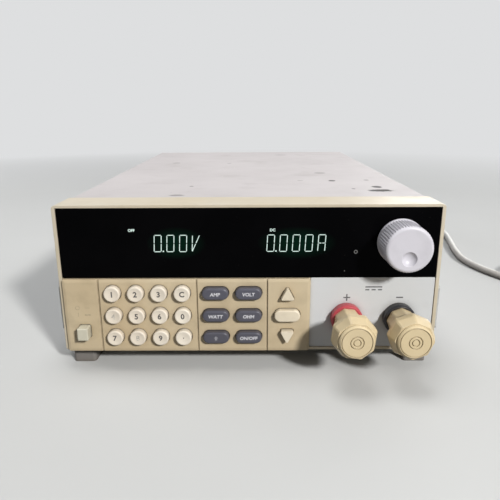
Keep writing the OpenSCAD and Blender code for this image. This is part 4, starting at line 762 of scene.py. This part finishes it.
FUNCTION_LEGENDS = ["AMP", "VOLT", "WATT", "OHM", "", "ON/OFF"]
FUNCTION_LEGEND_H = 2.1 * MM
FUNCTION_LEAN = 0.12
for i, (key, words) in enumerate(zip(FUNCTION_KEYS, FUNCTION_LEGENDS)):
    place = (FUNCTION_COLUMNS[i % 2], KEY_FACE, ROWS[i // 2])
    if words:
        lettering(
            "legend_" + key, words, FUNCTION_LEGEND_H, place, white_ink, key, lean=FUNCTION_LEAN,
        )

# Arrow on the shift key
ARROW_H = 2.6 * MM
arrow_x, arrow_z = FUNCTION_COLUMNS[0], ROWS[2]
arrow = [
    [(arrow_x, arrow_z + ARROW_H / 2), (arrow_x - ARROW_H / 2, arrow_z), (arrow_x + ARROW_H / 2, arrow_z)],
    bar(arrow_x, arrow_z - ARROW_H / 4, ARROW_H * 0.45, ARROW_H / 2),
]
shift_mark = raised("legend_shift_key", arrow, KEY_FACE)
add_piece("legend_shift_key", shift_mark, faded_white, "shift_key")

# Small lit words of the display
LIT_H = 1.6 * MM
LIT_Z = 82.4 * MM
LIT_WORDS = [("lit_off", "OFF", -64.4 * MM), ("lit_dc", "DC", 13.4 * MM)]
for name, words, x in LIT_WORDS:
    lettering(name, words, LIT_H, (x, WINDOW_FACE, LIT_Z), phosphor, "case")

# Polarity marks and a direct-current mark on the input plate
SIGN = 3.9 * MM
SIGN_STROKE = 0.7 * MM
SIGN_Z = 42.7 * MM
ARM = SIGN / 2.4
ARM_OUT = SIGN / 3.2
DC_Z = 48.2 * MM
DC_X = sum(POSTS) / 2
DC_W = 9.5 * MM
DC_RISE = 0.85 * MM
DASH_W = DC_W * 0.24
DASH_PITCH = DC_W * 0.38
plate_marks = [
    bar(POSTS[0], SIGN_Z, SIGN, SIGN_STROKE),
    bar(POSTS[0], SIGN_Z + ARM_OUT, SIGN_STROKE, ARM),
    bar(POSTS[0], SIGN_Z - ARM_OUT, SIGN_STROKE, ARM),
    bar(POSTS[1], SIGN_Z, SIGN, SIGN_STROKE),
    bar(DC_X, DC_Z + DC_RISE, DC_W, SIGN_STROKE),
]
plate_marks += [bar(DC_X + k * DASH_PITCH, DC_Z - DC_RISE, DASH_W, SIGN_STROKE) for k in (-1, 0, 1)]
add_piece("plate_marks", raised("plate_marks", plate_marks, PLATE_FACE), plate_ink, "case")

# Worn marks for off and on above the power button: a ring and a stroke, each with a bar at its right
MARK_STROKE = 0.35 * MM
OFF_X = -97.6 * MM
OFF_Z = 37.7 * MM
OFF_RADIUS = 0.95 * MM
ON_X = -97.4 * MM
ON_Z = 33.6 * MM
ON_H = 2.4 * MM
BAR_X = -92.0 * MM
THIN_BAR_W = 2.6 * MM
THICK_BAR_W = 3.4 * MM
THICK_BAR_H = 1.0 * MM
THICK_BAR_Z = 33.4 * MM
panel_marks = ring(OFF_X, OFF_Z, OFF_RADIUS, MARK_STROKE)
panel_marks += [
    bar(ON_X, ON_Z, MARK_STROKE, ON_H),
    bar(BAR_X, OFF_Z, THIN_BAR_W, MARK_STROKE),
    bar(BAR_X, THICK_BAR_Z, THICK_BAR_W, THICK_BAR_H),
]
add_piece("panel_marks", raised("panel_marks", panel_marks, KEYPAD_FACE), panel_ink, "case")

# Small lamp ring on the window, and a light speck below it
LAMP_X = 59.6 * MM
LAMP_Z = 69.8 * MM
LAMP_RADIUS = 0.65 * MM
LAMP_STROKE = 0.4 * MM
SPECK_X = 53.8 * MM
SPECK_Z = 58.7 * MM
SPECK = 0.45 * MM
lamp = ring(LAMP_X, LAMP_Z, LAMP_RADIUS, LAMP_STROKE)
lamp += [bar(SPECK_X, SPECK_Z, SPECK, SPECK)]
lamp_ink = ink("lamp_ink", srgb(128, 128, 126), srgb(40, 40, 42), 0.4, seed=33.0)
add_piece("window_lamp_ring", raised("window_lamp_ring", lamp, WINDOW_FACE), lamp_ink, "case")


# Stage: pale floor that fades into the background, soft lights

BACKGROUND = srgb(222, 223, 224)
# Colour of the floor as it is seen, and for the light that it throws back
FLOOR = srgb(204, 205, 204)
BOUNCE = srgb(120, 120, 118)
FLOOR_RADIUS = 6
FLOOR_DROP = 0.2 * MM
FADE_START = 0.6
FADE_END = 1.4
SKY = (0.93, 0.96, 1.0, 1)
SKY_STRENGTH = 0.16


def seen_rays(tree):
    """1 for what the eye sees, directly, in a reflection or through glass, and 0 for light that bounces."""
    path = tree.nodes.new("ShaderNodeLightPath")
    seen = path.outputs["Is Camera Ray"]
    for kind in ("Is Glossy Ray", "Is Transmission Ray"):
        either = tree.nodes.new("ShaderNodeMath")
        either.operation = "MAXIMUM"
        tree.links.new(seen, either.inputs[0])
        tree.links.new(path.outputs[kind], either.inputs[1])
        seen = either.outputs[0]
    return seen


def make_floor():
    mesh = bmesh.new()
    bmesh.ops.create_circle(mesh, cap_ends=True, segments=96, radius=FLOOR_RADIUS)
    data = bpy.data.meshes.new("floor")
    mesh.to_mesh(data)
    mesh.free()
    floor = add_object("floor", data)
    floor.location.z = -FLOOR_DROP
    look = Look("floor")
    far = look.add("ShaderNodeVectorMath", {0: look.place}, operation="LENGTH").outputs["Value"]
    seen = seen_rays(look.tree)
    mottled = look.mix(look.noise(60 * MM, 4), FLOOR, tuple(c * 0.97 for c in FLOOR[:3]) + (1,))
    matt = look.add("ShaderNodeBsdfDiffuse", {"Color": look.mix(seen, BOUNCE, mottled)})
    haze = look.add("ShaderNodeEmission", {"Color": BACKGROUND, "Strength": seen})
    share = look.span(far, FADE_START, FADE_END)
    faded = look.add("ShaderNodeMixShader", {0: share, 1: matt.outputs[0], 2: haze.outputs[0]})
    look.add("ShaderNodeOutputMaterial", {"Surface": faded.outputs[0]})
    data.materials.append(look.material)
    floor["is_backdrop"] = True


def make_world():
    world = bpy.data.worlds.new("studio")
    bpy.context.scene.world = world
    world.use_nodes = True
    tree = world.node_tree
    tree.nodes.clear()
    lit = tree.nodes.new("ShaderNodeBackground")
    lit.inputs["Color"].default_value = SKY
    lit.inputs["Strength"].default_value = SKY_STRENGTH
    shown = tree.nodes.new("ShaderNodeBackground")
    shown.inputs["Color"].default_value = BACKGROUND
    mixed = tree.nodes.new("ShaderNodeMixShader")
    tree.links.new(seen_rays(tree), mixed.inputs[0])
    tree.links.new(lit.outputs[0], mixed.inputs[1])
    tree.links.new(shown.outputs[0], mixed.inputs[2])
    out = tree.nodes.new("ShaderNodeOutputWorld")
    tree.links.new(mixed.outputs[0], out.inputs[0])


def make_light(name, place, target, size, power, color=(1, 1, 1)):
    data = bpy.data.lights.new(name, "AREA")
    data.shape = "DISK"
    data.size = size
    data.energy = power
    data.color = color
    light = add_object(name, data)
    light.location = place
    light.rotation_mode = "QUATERNION"
    light.rotation_quaternion = (Vector(target) - Vector(place)).to_track_quat("-Z", "Y")


make_floor()
make_world()
MIDDLE = (0, -0.05, 0.05)
make_light("key_light", (1.15, -1.9, 1.25), MIDDLE, 0.26, 62.0, (1.0, 0.985, 0.965))
make_light("top_light", (-0.1, 0.0, 1.5), MIDDLE, 0.7, 8.0)
make_light("side_light", (-1.3, 0.3, 0.6), MIDDLE, 0.8, 6.0)
make_light("rear_light", (1.2, 1.7, 0.75), MIDDLE, 1.5, 17.0)
bpy.context.scene.view_settings.view_transform = "Standard"

low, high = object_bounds()
